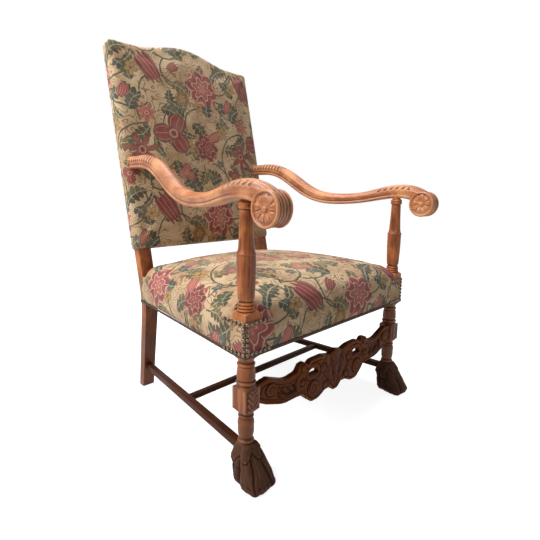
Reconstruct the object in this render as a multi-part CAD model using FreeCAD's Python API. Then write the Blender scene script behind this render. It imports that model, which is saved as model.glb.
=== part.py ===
import FreeCAD, Part
import math
import os
from FreeCAD import Vector

# High-backed upholstered armchair: turned front posts on carved paw feet, scrolled arms,
# raked rear posts that carry the reclined back, a carved and pierced front stretcher, and low
# square stretchers in an H. Millimetres, +Z up. The chair faces -Y and stands on Z = 0.
# While it is modelled, Y = 0 is the front posts' axis; the last step puts the origin under the
# middle of the chair.

# Plan of the frame
FRONT_SPACING = 620.0        # between the axes of the front posts
REAR_SPACING = 510.0         # between the middles of the rear posts
REAR_FACE_Y = 499.0          # front face of the rear posts at their knee

# Front posts, heights from the floor
BLOCK_SIDE = 42.0            # square left on the turned posts
PAW_TOP = 92.0
LOW_BLOCK_BOTTOM = 170.0
LOW_BLOCK_TOP = 223.0
SEAT_BLOCK_BOTTOM = 291.0
SEAT_BLOCK_TOP = 380.0
POST_SHARP_RING = 507.0
POST_TOP = 617.0             # underside of the arm
POST_TENON_RADIUS = 10.0
POST_TENON_LENGTH = 22.0
FOOT_TENON_RADIUS = 12.0
FOOT_TENON_LENGTH = 34.0

# Paw feet
PAW_HALF_WIDTH = 35.5
PAW_REACH = 68.0             # toes in front of the post's axis
PAW_HEEL = 22.0

# Rear posts
REAR_WIDTH = 41.0
REAR_FOOT_WIDTH = 37.0
REAR_DEPTH = 30.0
REAR_FOOT_DEPTH = 26.0
REAR_FOOT_Y = 545.0          # front face at the floor
KNEE_Z = 295.0
KNEE_RADIUS = 260.0
RECLINE = 12.53              # degrees of the back from upright

# Seat
RAIL_BOTTOM = 297.0
RAIL_TOP = 372.0
RAIL_THICK = 24.0
BACK_RAIL_THICK = 18.0
BACK_RAIL_SETBACK = 10.0     # back rail behind the knee of the rear posts
CORNER_BLOCK_LEG = 60.0
CORNER_BLOCK_HEIGHT = 34.0
CORNER_BLOCK_DROP = 12.0     # from the rails' top to the blocks' top
SEAT_CROWN = 443.0
SKIRT_BOTTOM = 293.0
DOME_CORNER = 42.0           # round corners of the stuffed seat in plan

# Back, lengths along its slope from the knee
BACK_BOTTOM = 172.0
BACK_SHOULDER = 816.0
CREST_RISE = 34.5            # arch above the level shoulders
CREST_HALF = 202.0           # half the width of the arch
SHOULDER_CORNER = 12.0
REAR_POST_TOP = 770.0
BACK_RAIL_HEIGHT = 56.0
BACK_RAIL_LIFT = 6.0         # bottom rail above the cover's lower edge
PAD_EDGE = 13.0              # padding in front of the frame at its edge
PAD_CROWN = 30.0             # and in the middle

# Arms
ARM_WIDTH = 42.0
SCROLL_OUT = 10.0            # roll's middle outside the front post's axis
SCROLL_Y = -81.0
SCROLL_Z = 603.0
SCROLL_RADIUS = 37.0
SCROLL_WIDTH = 42.0
ROSETTE_RADIUS = 27.0
ROSETTE_DEPTH = 3.0
RIM_RADIUS = 34.0

# Stretchers
BAR_WIDTH = 18.0
BAR_HEIGHT = 17.0
BAR_Z = 71.0                 # middle of the low stretchers
CROSS_BAR_Y = 272.0
BAR_SEAT_FRONT = 14.0        # bar housed in the paw behind the post's axis
BAR_SEAT_REAR = 12.0
CROSS_SEAT = 6.0
STRETCHER_FRONT_Y = -17.0
STRETCHER_THICK = 18.0
STRETCHER_TENON = (16.0, 10.0, 32.0)    # length, thickness, height
STRETCHER_TENON_LIFT = 21.0  # middle of the tenon above the block's lower end
PANEL_DEPTH = 4.0
BOSS_RISE = 3.0

# Upholstery layers
STRAP_WIDTH = 50.0
STRAP_THICK = 1.6
HESSIAN_THICK = 1.0
COVER_THICK = 1.5
LINING_THICK = 0.8

# Joints
TENON_THICK = 10.0
TENON_LENGTH = 16.0
TENON_SHOULDER = 12.0        # left above and below a rail's tenon
DOWEL_RADIUS = 5.0
DOWEL_LENGTH = 38.0
FIT = 0.15                   # clearance round tenons, dowels and housed ends
SOFT_GAP = 0.3               # cloth and stuffing stay this far from the wood
NOTCH_GAP = 0.6              # cut-outs in cloth and stuffing round a post or arm

# Facets of the soft forms
CROWN_STEPS = 7
CROWN_SPREAD = 0.6           # how far the crown's rings draw in towards the middle
CREST_STEPS = 12
CORNER_STEPS = 3

front_x = FRONT_SPACING / 2
scroll_x = front_x + SCROLL_OUT
rear_x = REAR_SPACING / 2
half_block = BLOCK_SIDE / 2
outer_front_x = front_x + half_block
outer_rear_x = rear_x + REAR_WIDTH / 2
lean = math.radians(RECLINE)
rake = math.atan2(REAR_FOOT_Y - REAR_FACE_Y, KNEE_Z)
seat_back_y = REAR_FACE_Y + BACK_RAIL_SETBACK + BACK_RAIL_THICK
side_taper = (outer_front_x - outer_rear_x) / (REAR_FACE_Y - half_block)
parts = {}


def rounded_wire(corners, place):
    """Closed wire through corners (u, v, radius), with a tangent arc where the radius isn't 0."""
    spans = []
    for index, (u, v, radius) in enumerate(corners):
        corner = Vector(u, v, 0)
        if radius == 0:
            spans.append([corner])
            continue
        ahead = corners[(index + 1) % len(corners)]
        before = (Vector(*corners[index - 1][:2], 0) - corner).normalize()
        after = (Vector(*ahead[:2], 0) - corner).normalize()
        half = before.getAngle(after) / 2
        middle = (before + after).normalize()
        reach = radius / math.tan(half)
        depth = radius / math.sin(half) - radius
        spans.append([corner + before * reach, corner + middle * depth, corner + after * reach])
    edges = []
    for index, span in enumerate(spans):
        if len(span) == 3:
            edges.append(Part.Arc(*[place(p.x, p.y) for p in span]).toShape())
        start = span[-1]
        end = spans[(index + 1) % len(spans)][0]
        if start.distanceToPoint(end) > 0.001:
            edges.append(Part.LineSegment(place(start.x, start.y), place(end.x, end.y)).toShape())
    return Part.Wire(edges)


def plate(corners, place, direction):
    """Solid swept along direction from the outline of rounded corners."""
    return Part.Face(rounded_wire(corners, place)).extrude(direction)


def in_plan(z):
    """Placing function for an outline in (x, y) at a height."""
    return lambda x, y: Vector(x, y, z)


def in_front(y):
    """Placing function for an outline in (x, z) at a depth."""
    return lambda x, z: Vector(x, y, z)


def in_side(x):
    """Placing function for an outline in (y, z) at a width."""
    return lambda y, z: Vector(x, y, z)


def turned(profile):
    """Revolved solid about Z from (radius, z, swell); a swell bulges the stretch before it."""
    edges = []
    start = Vector(0, 0, profile[0][1])
    for radius, z, swell in list(profile) + [(0, profile[-1][1], 0)]:
        end = Vector(radius, 0, z)
        if swell:
            across = Vector(end.z - start.z, 0, start.x - end.x).normalize()
            edges.append(Part.Arc(start, (start + end) * 0.5 + across * swell, end).toShape())
        else:
            edges.append(Part.LineSegment(start, end).toShape())
        start = end
    edges.append(Part.LineSegment(start, Vector(0, 0, profile[0][1])).toShape())
    return Part.Face(Part.Wire(edges)).revolve(Vector(), Vector(0, 0, 1), 360)


def arc_points(x, y, radius, start, end):
    """Points round a centre from one angle to another, in degrees."""
    turns = [math.radians(start + (end - start) * step / CORNER_STEPS) for step in range(CORNER_STEPS + 1)]
    return [(x + radius * math.cos(turn), y + radius * math.sin(turn)) for turn in turns]


def ruled_form(rings):
    """Solid through closed rings of as many corners each, joined by flat faces."""
    loops = [rings[0][::-1], rings[-1]]
    for lower, upper in zip(rings, rings[1:]):
        for index in range(len(lower)):
            loops.append([lower[index - 1], lower[index], upper[index], upper[index - 1]])
    faces = [Part.Face(Part.makePolygon(loop + loop[:1])) for loop in loops]
    solid = Part.Solid(Part.makeShell(faces))
    if solid.Volume < 0:
        solid.reverse()
    return solid


def crowned(outline, base, crown, place):
    """Swell from an outline at one level to a crown at another, drawn in on the way."""
    middle = sum(v for _, v in outline) / len(outline)
    rings = []
    for step in range(CROWN_STEPS + 1):
        share = (step / CROWN_STEPS) ** 2
        scale = 1 - CROWN_SPREAD * share
        level = base + (crown - base) * math.sqrt(1 - (1 - share) ** 2.2)
        rings.append([place(level)(u * scale, middle + (v - middle) * scale) for u, v in outline])
    return ruled_form(rings)


def slab(outline, place, direction):
    """Solid swept along direction from an outline of plain points."""
    return plate([(u, v, 0) for u, v in outline], place, direction)


def rod(start, end, radius):
    """Round rod between two points."""
    return Part.makeCylinder(radius, (end - start).Length, start, end - start)


def bar(start, end, width, height):
    """Upright rectangular bar between two points, as wide and as high as given."""
    along = (end - start).normalize()
    side = Vector(along.y, -along.x, 0).normalize() * (width / 2)
    rise = Vector(0, 0, height / 2)
    corners = [start - side - rise, start + side - rise, start + side + rise, start - side + rise]
    return Part.Face(Part.makePolygon(corners + corners[:1])).extrude(end - start)


def mirrored(shape):
    """The same shape on the chair's other side."""
    return shape.mirror(Vector(), Vector(1, 0, 0))


def add_pair(name, left):
    """Keep a left-hand piece and its mirror image."""
    parts[name + "_left"] = left
    parts[name + "_right"] = mirrored(left)


def both_sides(shapes):
    """The shapes and their mirror images."""
    return list(shapes) + [mirrored(s) for s in shapes]


def lean_back(shape):
    """Turn a shape built upright, with its front at y = 0 and the knee at z = 0, into the back."""
    turned_back = shape.copy()
    turned_back.rotate(Vector(), Vector(1, 0, 0), -RECLINE)
    turned_back.translate(Vector(0, REAR_FACE_Y, KNEE_Z))
    return turned_back


def rear_face_at(z):
    """Y of the rear posts' front face at a height."""
    slope = math.tan(lean) if z > KNEE_Z else -math.tan(rake)
    return REAR_FACE_Y + (z - KNEE_Z) * slope


def behind_posts():
    """Everything behind the plane of the rear posts' front faces, above the knee."""
    return lean_back(Part.makeBox(2 * FRONT_SPACING, 2 * FRONT_SPACING, 2 * BACK_SHOULDER,
                                  Vector(-FRONT_SPACING, 0, -KNEE_Z / 2)))


def side_rail_x(y):
    """Outer face of the left side rail."""
    return -outer_front_x + side_taper * (y - half_block)


def front_post():
    """Turned post with two square blocks, a round tenon into the arm and one into the paw."""
    corner = half_block * math.sqrt(2) + 1
    profile = [
        (FOOT_TENON_RADIUS, PAW_TOP - FOOT_TENON_LENGTH, 0),
        (FOOT_TENON_RADIUS, PAW_TOP, 0),
        (16.0, PAW_TOP, 0),
        (16.0, PAW_TOP + 8, 0.9),
        (16.4, PAW_TOP + 10, 0),
        (16.4, LOW_BLOCK_BOTTOM - 12, 2.2),
        (corner, LOW_BLOCK_BOTTOM + 6, -3.0),
        (corner, LOW_BLOCK_TOP - 3, 0),
        (19.4, LOW_BLOCK_TOP + 4, 0),
        (19.4, LOW_BLOCK_TOP + 12, 0.9),
        (20.2, LOW_BLOCK_TOP + 14, 0),
        (18.4, SEAT_BLOCK_BOTTOM - 24, 0),
        (17.2, SEAT_BLOCK_BOTTOM - 22, 0),
        (17.2, SEAT_BLOCK_BOTTOM - 16, 0.8),
        (corner, SEAT_BLOCK_BOTTOM + 6, -2.5),
        (corner, SEAT_BLOCK_TOP - 7, 0),
        (17.8, SEAT_BLOCK_TOP + 8, 2.5),
    ]
    ring = SEAT_BLOCK_TOP + 8
    for radius, height in ((18.2, 8.0), (17.8, 7.0), (17.4, 6.0)):
        profile.append((radius, ring + height, 0.9))
        ring += height
    profile += [
        (18.6, ring + 2, 0),
        (20.4, POST_SHARP_RING - 5, 0.8),
        (17.6, POST_SHARP_RING, 0),
        (19.8, POST_SHARP_RING + 3, 0),
        (17.2, POST_SHARP_RING + 8, 0),
        (13.6, POST_TOP - 18, 0),
        (13.6, POST_TOP - 2, 3.0),
        (13.6, POST_TOP, 0),
        (POST_TENON_RADIUS, POST_TOP, 0),
        (POST_TENON_RADIUS, POST_TOP + POST_TENON_LENGTH, 0),
    ]
    square = Part.makeBox(BLOCK_SIDE, BLOCK_SIDE, POST_TOP + POST_TENON_LENGTH,
                          Vector(-half_block, -half_block, 0))
    post = turned(profile).common(square)
    post.translate(Vector(-front_x, 0, 0))
    return post


def paw_section(z, half_width, front, back, radius):
    """Rounded outline of the paw at a height."""
    corners = [(-half_width, front, radius), (half_width, front, radius),
               (half_width, back, radius), (-half_width, back, radius)]
    return rounded_wire(corners, in_plan(z))


def paw_foot():
    """Carved paw: a neck that swells into a tuft, a long instep and four toes on the floor."""
    heel = PAW_HEEL
    neck = 18.0
    body = Part.makeLoft([
        paw_section(PAW_TOP, neck, -neck, neck, neck - 0.5),
        paw_section(PAW_TOP - 14, neck + 8, -neck - 8, heel + 3, neck - 2),
        paw_section(PAW_TOP - 36, neck + 12, -neck - 21, heel + 5, neck - 4),
        paw_section(PAW_TOP - 58, neck + 14, -PAW_REACH + 14, heel, neck - 5),
        paw_section(16, PAW_HALF_WIDTH - 1, -PAW_REACH + 2, heel - 3, 13),
        paw_section(5, PAW_HALF_WIDTH, -PAW_REACH, heel - 3, 12),
        paw_section(0, PAW_HALF_WIDTH - 3, -PAW_REACH + 4, heel - 5, 10),
    ], True)
    for share in (-0.5, 0, 0.5):
        top = Vector(share * PAW_HALF_WIDTH * 0.6, -neck - 8, PAW_TOP - 24)
        toe = Vector(share * PAW_HALF_WIDTH, -PAW_REACH - 4, 2)
        body = body.cut(rod(top, toe + (toe - top) * 0.1, 3.2))
    socket = Part.makeCylinder(FOOT_TENON_RADIUS + FIT, FOOT_TENON_LENGTH + FIT,
                               Vector(0, 0, PAW_TOP - FOOT_TENON_LENGTH - FIT))
    body = body.cut(socket)
    body.translate(Vector(-front_x, 0, 0))
    return body


def rear_post():
    """Rear post in one piece: a raked, tapered leg, a knee, and the stile of the back with a tenon."""
    tenon = 24.0
    up = Vector(0, math.sin(lean), math.cos(lean))
    back = Vector(0, math.cos(lean), -math.sin(lean))
    knee = Vector(0, REAR_FACE_Y, KNEE_Z)
    head = knee + up * REAR_POST_TOP
    profile = [
        (REAR_FOOT_Y, 0, 3),
        (knee.y, knee.z, KNEE_RADIUS),
        (head.y, head.z, 0),
        ((head + back * REAR_DEPTH).y, (head + back * REAR_DEPTH).z, 0),
        ((knee + back * REAR_DEPTH).y, (knee + back * REAR_DEPTH).z, KNEE_RADIUS),
        (REAR_FOOT_Y + REAR_FOOT_DEPTH, 0, 3),
    ]
    post = plate(profile, in_side(-outer_rear_x), Vector(REAR_WIDTH, 0, 0))
    half = REAR_WIDTH / 2
    half_foot = REAR_FOOT_WIDTH / 2
    front = [(-rear_x - half_foot, 0, 0), (-rear_x + half_foot, 0, 0), (-rear_x + half, KNEE_Z, 0),
             (-rear_x + half, head.z + tenon, 0), (-rear_x - half, head.z + tenon, 0),
             (-rear_x - half, KNEE_Z, 0)]
    post = post.common(plate(front, in_front(REAR_FACE_Y - 50), Vector(0, 400, 0)))
    tongue = Part.makeBox(REAR_WIDTH - 16, REAR_DEPTH - 18, tenon,
                          Vector(-rear_x - half + 8, 9, REAR_POST_TOP))
    return post.fuse(lean_back(tongue)), tongue


def crest_outline(grow, bottom):
    """Outline of the back in (x, slope), grown all round: sides, level shoulders, arched crest."""
    side = outer_rear_x + grow
    shoulder = BACK_SHOULDER + grow
    corner = SHOULDER_CORNER + grow
    right = [(side, bottom)] + arc_points(side - corner, shoulder - corner, corner, 0, 90)
    crest = []
    for step in range(CREST_STEPS + 1):
        x = CREST_HALF * (1 - 2 * step / CREST_STEPS)
        crest.append((x, shoulder + CREST_RISE * (1 + math.cos(math.pi * x / CREST_HALF)) / 2))
    return right + crest + [(-x, z) for x, z in reversed(right)]


def crest_rail(tongue):
    """Top rail of the back: it sits on both rear posts and carries the arched outline."""
    rail = slab(crest_outline(0, REAR_POST_TOP), in_front(0), Vector(0, REAR_DEPTH, 0))
    hole = tongue.BoundBox
    mortise = Part.makeBox(hole.XLength + 2 * FIT, hole.YLength + 2 * FIT, hole.ZLength + FIT,
                           Vector(hole.XMin - FIT, hole.YMin - FIT, hole.ZMin))
    return lean_back(rail.cut(Part.makeCompound(both_sides([mortise]))))


def back_rail_tongue(grow):
    """Tenons of the back's bottom rail in one piece, built upright and grown by a clearance."""
    reach = rear_x - REAR_WIDTH / 2 + TENON_LENGTH + grow
    thick = TENON_THICK + 2 * grow
    height = BACK_RAIL_HEIGHT - 2 * (TENON_SHOULDER - grow)
    low = BACK_BOTTOM + BACK_RAIL_LIFT + TENON_SHOULDER - grow
    return Part.makeBox(2 * reach, thick, height, Vector(-reach, (REAR_DEPTH - thick) / 2, low))


def back_bottom_rail():
    """Lower rail of the back, tenoned between the rear posts."""
    inner = rear_x - REAR_WIDTH / 2
    rail = Part.makeBox(2 * inner, REAR_DEPTH, BACK_RAIL_HEIGHT,
                        Vector(-inner, 0, BACK_BOTTOM + BACK_RAIL_LIFT))
    return lean_back(rail.fuse(back_rail_tongue(0)))


def arm_section(centre, along, width, height):
    """Moulded outline of the arm: crowned top, side hollowed over a bead along the lower edge."""
    side = Vector(along.y, -along.x, 0).normalize()
    rise = side.cross(along).normalize()
    if rise.z < 0:
        rise = rise * -1

    def at(across, up):
        return centre + side * (across * width) + rise * (up * height)

    half = [(0.38, -0.5), (0.48, -0.38), (0.44, -0.26), (0.5, 0.14)]
    right = [at(u, v) for u, v in half]
    left = [at(-u, v) for u, v in half]
    corners = [right[3]] + right[2::-1] + left
    edges = [Part.LineSegment(a, b) for a, b in zip(corners, corners[1:])]
    edges.append(Part.Arc(left[3], at(0, 0.5), right[3]))
    return Part.Wire([edge.toShape() for edge in edges])


def arm_path():
    """Middle line of the left arm from the rear post to the scroll, and its height at each point."""
    high = POST_TOP + 108
    low = POST_TOP - 2
    spread = scroll_x - rear_x
    stations = [
        (612, 0.015, high + 1, 40), (500, 0.06, high - 4, 40), (440, 0.11, high - 16, 41),
        (320, 0.245, high - 82, 42), (260, 0.34, low + 6, 38), (185, 0.51, low, 35),
        (110, 0.74, low + 6, 34), (40, 0.92, low + 20, 38), (SCROLL_Y + 45, 1, low + 23, 41),
        (SCROLL_Y + 8, 1, low + 10, 42), (SCROLL_Y - 12, 1, low - 5, 42),
    ]
    points = [Vector(-rear_x - share * spread, y, z) for y, share, z, _ in stations]
    return points, [height for _, _, _, height in stations]


def scroll_drum():
    """Roll at the arm's front: a waisted drum with a sunk rosette field in a rim on both faces."""
    half = SCROLL_WIDTH / 2
    sunk = half - ROSETTE_DEPTH
    side = [(SCROLL_RADIUS - 2, half - 7, 0), (SCROLL_RADIUS, half - 5, 0), (RIM_RADIUS, half, 1.0),
            (ROSETTE_RADIUS, half, 0), (ROSETTE_RADIUS, sunk, 0)]
    other = [(radius, -z) for radius, z, _ in reversed(side)]
    swells = (0, 0, 0, 1.0, 0)
    drum = turned([(radius, z, swell) for (radius, z), swell in zip(other, swells)] + side)
    drum.rotate(Vector(), Vector(0, 1, 0), 90)
    drum.translate(Vector(-scroll_x, SCROLL_Y, SCROLL_Z))
    return drum


def arm():
    """Scrolled arm: a moulded S-shaped rail run out over the roll, cut to the rear post's face."""
    points, heights = arm_path()
    line = Part.BSplineCurve()
    line.interpolate(points)
    sections = []
    for point, height in zip(points, heights):
        along = line.tangent(line.parameter(point))[0]
        sections.append(arm_section(point, along, ARM_WIDTH, height))
    rail = Part.makeLoft(sections, True)
    rail = rail.cut(behind_posts()).fuse(scroll_drum())
    socket = Part.makeCylinder(POST_TENON_RADIUS + FIT, POST_TENON_LENGTH + FIT,
                               Vector(-front_x, 0, POST_TOP))
    shoulder = Part.makeBox(BLOCK_SIDE, BLOCK_SIDE, BLOCK_SIDE,
                            Vector(-outer_front_x, -half_block, POST_TOP - BLOCK_SIDE))
    return rail.cut(socket).cut(shoulder)


def stretcher_outline():
    """Half outline of the front stretcher, from its middle over the top to the end and back.

    Each corner is a share of the half length, a rise from the posts' low block and a radius.
    """
    return [
        (0.095, 45, 0), (0.20, 52, 30), (0.36, 52, 20), (0.405, 43, 0), (0.44, 53, 8),
        (0.505, 52, 8), (0.545, 36, 14), (0.68, 31, 60), (0.885, 55, 18), (1, 50, 0),
        (1, 8, 0), (0.91, -6, 26), (0.72, -26, 90), (0.475, -28, 0), (0.435, -42, 18),
        (0.355, -60, 18), (0.25, -60, 22), (0.16, -48, 14), (0.09, -46, 0), (0.035, -60, 7),
    ]


def front_stretcher():
    """Pierced stretcher: opposed C-scrolls with sunk panels, volutes, a middle shell and tenons."""
    low = LOW_BLOCK_BOTTOM
    end = front_x - half_block

    def placed(corners):
        return [(share * end, low + rise, radius) for share, rise, radius in corners]

    half = placed(stretcher_outline())
    outline = [(0, low + 53, 14)] + half + [(-x, z, r) for x, z, r in reversed(half)]
    body = plate(outline, in_front(STRETCHER_FRONT_Y), Vector(0, STRETCHER_THICK, 0))
    pierced = placed([(0.255, 9, 0), (0.405, 10, 0), (0.385, 32, 12), (0.28, 33, 12)])
    panel = placed([(0.55, -10, 0), (0.66, -11, 30), (0.79, 6, 10), (0.79, 26, 8), (0.68, 15, 30),
                    (0.56, 11, 0)])
    cuts = [
        plate(pierced, in_front(STRETCHER_FRONT_Y - 1), Vector(0, STRETCHER_THICK + 2, 0)),
        plate(panel, in_front(STRETCHER_FRONT_Y - 1), Vector(0, PANEL_DEPTH + 1, 0)),
    ]
    body = body.cut(Part.makeCompound(both_sides(cuts)))
    bosses = []
    for x, z, radius in placed([(0.865, 25, 17), (0.343, -24, 21), (0.475, 40, 8)]):
        start = Vector(x, STRETCHER_FRONT_Y, z)
        bosses.append(Part.makeCone(radius, radius - BOSS_RISE, BOSS_RISE, start, Vector(0, -1, 0)))
    return body.multiFuse(both_sides(bosses + [stretcher_tenon(0)])).removeSplitter()


def stretcher_tenon(grow):
    """Tenon at the left end of the front stretcher, grown by a clearance."""
    length, thick, height = STRETCHER_TENON
    y = STRETCHER_FRONT_Y + STRETCHER_THICK / 2
    shoulder = Vector(half_block - front_x, y, LOW_BLOCK_BOTTOM + STRETCHER_TENON_LIFT)
    tip = shoulder - Vector(length + grow, 0, 0)
    return bar(tip, shoulder, thick + 2 * grow, height + 2 * grow)


def bar_ends():
    """End points of the left side stretcher, housed in the paw and in the rear post."""
    start = Vector(-front_x, BAR_SEAT_FRONT, BAR_Z)
    end = Vector(-rear_x, rear_face_at(BAR_Z) + BAR_SEAT_REAR, BAR_Z)
    return start, end


def side_stretcher(grow):
    """Low square stretcher from the paw to the rear post."""
    start, end = bar_ends()
    return bar(start, end, BAR_WIDTH + 2 * grow, BAR_HEIGHT + 2 * grow)


def cross_stretcher(grow):
    """Stretcher across the chair, housed in the two side ones."""
    start, end = bar_ends()
    share = (CROSS_BAR_Y - start.y) / (end.y - start.y)
    x = start.x + share * (end.x - start.x) + BAR_WIDTH / 2 - CROSS_SEAT
    return bar(Vector(x, CROSS_BAR_Y, BAR_Z), Vector(-x, CROSS_BAR_Y, BAR_Z),
               BAR_WIDTH + 2 * grow, BAR_HEIGHT + 2 * grow - 3)


def seat_rails():
    """Front, left and back rails of the seat, without their tenons."""
    rise = Vector(0, 0, RAIL_TOP - RAIL_BOTTOM)
    inner = front_x - half_block
    front = Part.makeBox(2 * inner, RAIL_THICK, rise.z, Vector(-inner, -half_block, RAIL_BOTTOM))
    far = rear_face_at(RAIL_TOP) + 10
    outline = [(side_rail_x(half_block), half_block), (side_rail_x(far), far),
               (side_rail_x(far) + RAIL_THICK, far), (side_rail_x(half_block) + RAIL_THICK, half_block)]
    left = slab(outline, in_plan(RAIL_BOTTOM), rise).cut(behind_posts())
    gap = rear_x - REAR_WIDTH / 2
    back = Part.makeBox(2 * gap, BACK_RAIL_THICK, rise.z,
                        Vector(-gap, REAR_FACE_Y + BACK_RAIL_SETBACK, RAIL_BOTTOM))
    return front, left, back


def seat_tongues(grow):
    """Tenons of the front, left and back rails, each pair in one piece, grown by a clearance."""
    thick = TENON_THICK + 2 * grow
    height = RAIL_TOP - RAIL_BOTTOM - 2 * (TENON_SHOULDER - grow)
    middle = (RAIL_BOTTOM + RAIL_TOP) / 2
    reach = front_x - half_block + TENON_LENGTH + grow
    y = RAIL_THICK / 2 - half_block
    front = bar(Vector(-reach, y, middle), Vector(reach, y, middle), thick, height)
    ends = []
    for y in (half_block - TENON_LENGTH - grow, rear_face_at(middle) + TENON_LENGTH + grow):
        ends.append(Vector(side_rail_x(y) + RAIL_THICK / 2, y, middle))
    left = bar(ends[0], ends[1], thick, height)
    reach = rear_x - REAR_WIDTH / 2 + TENON_LENGTH + grow
    y = seat_back_y - BACK_RAIL_THICK / 2
    back = bar(Vector(-reach, y, middle), Vector(reach, y, middle), thick, height)
    return front, left, back


def corner_blocks(rear):
    """Glue blocks in the left corners of the seat frame, front and rear."""
    top = RAIL_TOP - CORNER_BLOCK_DROP
    rise = Vector(0, 0, CORNER_BLOCK_HEIGHT)
    leg = CORNER_BLOCK_LEG
    inner = -front_x + half_block
    y = RAIL_THICK - half_block
    far = half_block + leg
    front = [(inner, y), (inner + leg, y), (side_rail_x(far) + RAIL_THICK, far),
             (side_rail_x(half_block) + RAIL_THICK, half_block), (inner, half_block)]
    back_y = REAR_FACE_Y + BACK_RAIL_SETBACK
    near = back_y - leg
    back = [(side_rail_x(near) + RAIL_THICK, near), (-rear_x + REAR_WIDTH / 2 + leg, back_y),
            (side_rail_x(back_y) + RAIL_THICK, back_y)]
    place = in_plan(top - CORNER_BLOCK_HEIGHT)
    return slab(front, place, rise), slab(back, place, rise).cut(rear)


def arm_dowels():
    """Dowels from the left rear post into the end of the arm, square to the post."""
    points, _ = arm_path()
    slope = (points[0].z - KNEE_Z) / math.cos(lean)
    reach = Vector(0, DOWEL_LENGTH / 2, 0)
    return [(Vector(points[0].x, 0, slope + dz) - reach, Vector(points[0].x, 0, slope + dz) + reach)
            for dz in (-9, 9)]


def rods(spans, radius):
    """Rods of one radius along the given spans."""
    return [rod(start, end, radius) for start, end in spans]


def longer(spans):
    """The spans with a little room at both ends, for blind holes."""
    room = []
    for start, end in spans:
        step = (end - start).normalize() * FIT
        room.append((start - step, end + step))
    return room


def seat_outline(grow):
    """Plan of the seat frame, grown all round: square at the posts, tapering along the side rails."""
    front = -half_block - grow
    back = seat_back_y + grow
    wide = outer_front_x + grow
    narrow = outer_rear_x + grow
    right = [(wide, front), (wide, half_block), (narrow, REAR_FACE_Y), (narrow, back)]
    return right + [(-x, y) for x, y in reversed(right)]


def dome_outline(grow):
    """Plan of the stuffed seat, grown all round: the side rails' lines run on to round corners."""
    tilt = math.degrees(math.atan(side_taper))
    right = []
    for y, first, last in ((DOME_CORNER - half_block, -90, tilt), (seat_back_y - DOME_CORNER, tilt, 90)):
        x = -side_rail_x(y) - DOME_CORNER / math.cos(math.radians(tilt))
        right += arc_points(x, y, DOME_CORNER + grow, first, last)
    return right + [(-x, y) for x, y in reversed(right)]


def seat_dome(grow, crown):
    """Stuffed shape of the seat from the top of the rails up to a crown."""
    return crowned(dome_outline(grow), RAIL_TOP, crown, in_plan)


def post_room(bottom, outward):
    """Room for the four posts in cloth and stuffing above a level, carried past their outer faces."""
    more = NOTCH_GAP + outward
    front = Part.makeBox(BLOCK_SIDE + more, BLOCK_SIDE + more, SEAT_CROWN,
                         Vector(-outer_front_x - outward, -half_block - outward, bottom))
    rear = Part.makeBox(REAR_WIDTH + more, 2 * REAR_DEPTH + more, BACK_SHOULDER,
                        Vector(-outer_rear_x - outward, -NOTCH_GAP, -KNEE_Z / 2))
    above = Part.makeBox(2 * outer_front_x, 2 * seat_back_y, BACK_SHOULDER,
                         Vector(-outer_front_x * 2, 0, bottom))
    return Part.makeCompound(both_sides([front, lean_back(rear).common(above)]))


def straps(count, first, last, length_of, level):
    """Webbing straps side by side; length_of gives each strap's box from its middle."""
    pitch = (last - first) / (count - 1)
    return [length_of(first + pitch * step, level) for step in range(count)]


def seat_upholstery():
    """Webbing, hessian, stuffing, cover and bottom lining of the seat."""
    half = STRAP_WIDTH / 2
    hem = 8.0

    def lengthwise(x, z):
        start = hem - half_block
        return Part.makeBox(STRAP_WIDTH, seat_back_y - hem - start, STRAP_THICK, Vector(x - half, start, z))

    def crosswise(y, z):
        reach = -side_rail_x(y + half) - hem
        return Part.makeBox(2 * reach, STRAP_WIDTH, STRAP_THICK, Vector(-reach, y - half, z))

    first = straps(5, -rear_x + 66, rear_x - 66, lengthwise, RAIL_TOP)
    second = straps(5, 80, REAR_FACE_Y - 60, crosswise, RAIL_TOP + STRAP_THICK)
    parts["seat_webbing_lengthwise"] = Part.makeCompound(first)
    parts["seat_webbing_crosswise"] = Part.makeCompound(second)
    cloth = RAIL_TOP + 2 * STRAP_THICK
    base = cloth + HESSIAN_THICK
    room = post_room(RAIL_TOP, BLOCK_SIDE)
    hessian = slab(dome_outline(-hem), in_plan(cloth), Vector(0, 0, HESSIAN_THICK))
    parts["seat_hessian"] = hessian.cut(room)
    lining = slab(seat_outline(-hem), in_plan(RAIL_BOTTOM - LINING_THICK), Vector(0, 0, LINING_THICK))
    parts["seat_bottom_lining"] = lining.cut(post_room(SKIRT_BOTTOM - hem, hem))

    under = Part.makeBox(2 * FRONT_SPACING, 2 * FRONT_SPACING, base,
                         Vector(-FRONT_SPACING, -FRONT_SPACING / 2, 0))
    stuffing = seat_dome(0, SEAT_CROWN - COVER_THICK - SOFT_GAP).cut(under)
    parts["seat_stuffing"] = stuffing.cut(room)
    skirt = Vector(0, 0, RAIL_TOP - SKIRT_BOTTOM)
    outside = SOFT_GAP + COVER_THICK
    outer = seat_dome(outside, SEAT_CROWN).cut(room)
    outer = outer.fuse(slab(seat_outline(outside), in_plan(SKIRT_BOTTOM), skirt))
    inner = seat_dome(SOFT_GAP, SEAT_CROWN - COVER_THICK)
    inner = inner.fuse(slab(seat_outline(SOFT_GAP), in_plan(SKIRT_BOTTOM - hem), skirt + Vector(0, 0, hem)))
    parts["seat_cover"] = outer.cut(inner).cut(post_room(0, SOFT_GAP))


def back_pad(grow, behind, crown):
    """Stuffed front of the back, built upright, from a level behind its edge to its crown."""
    outline = crest_outline(grow, BACK_BOTTOM - grow)
    edge = slab(outline, in_front(behind), Vector(0, -PAD_EDGE - behind, 0))
    return edge.fuse(crowned(outline, -PAD_EDGE, -crown, in_front))


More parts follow.
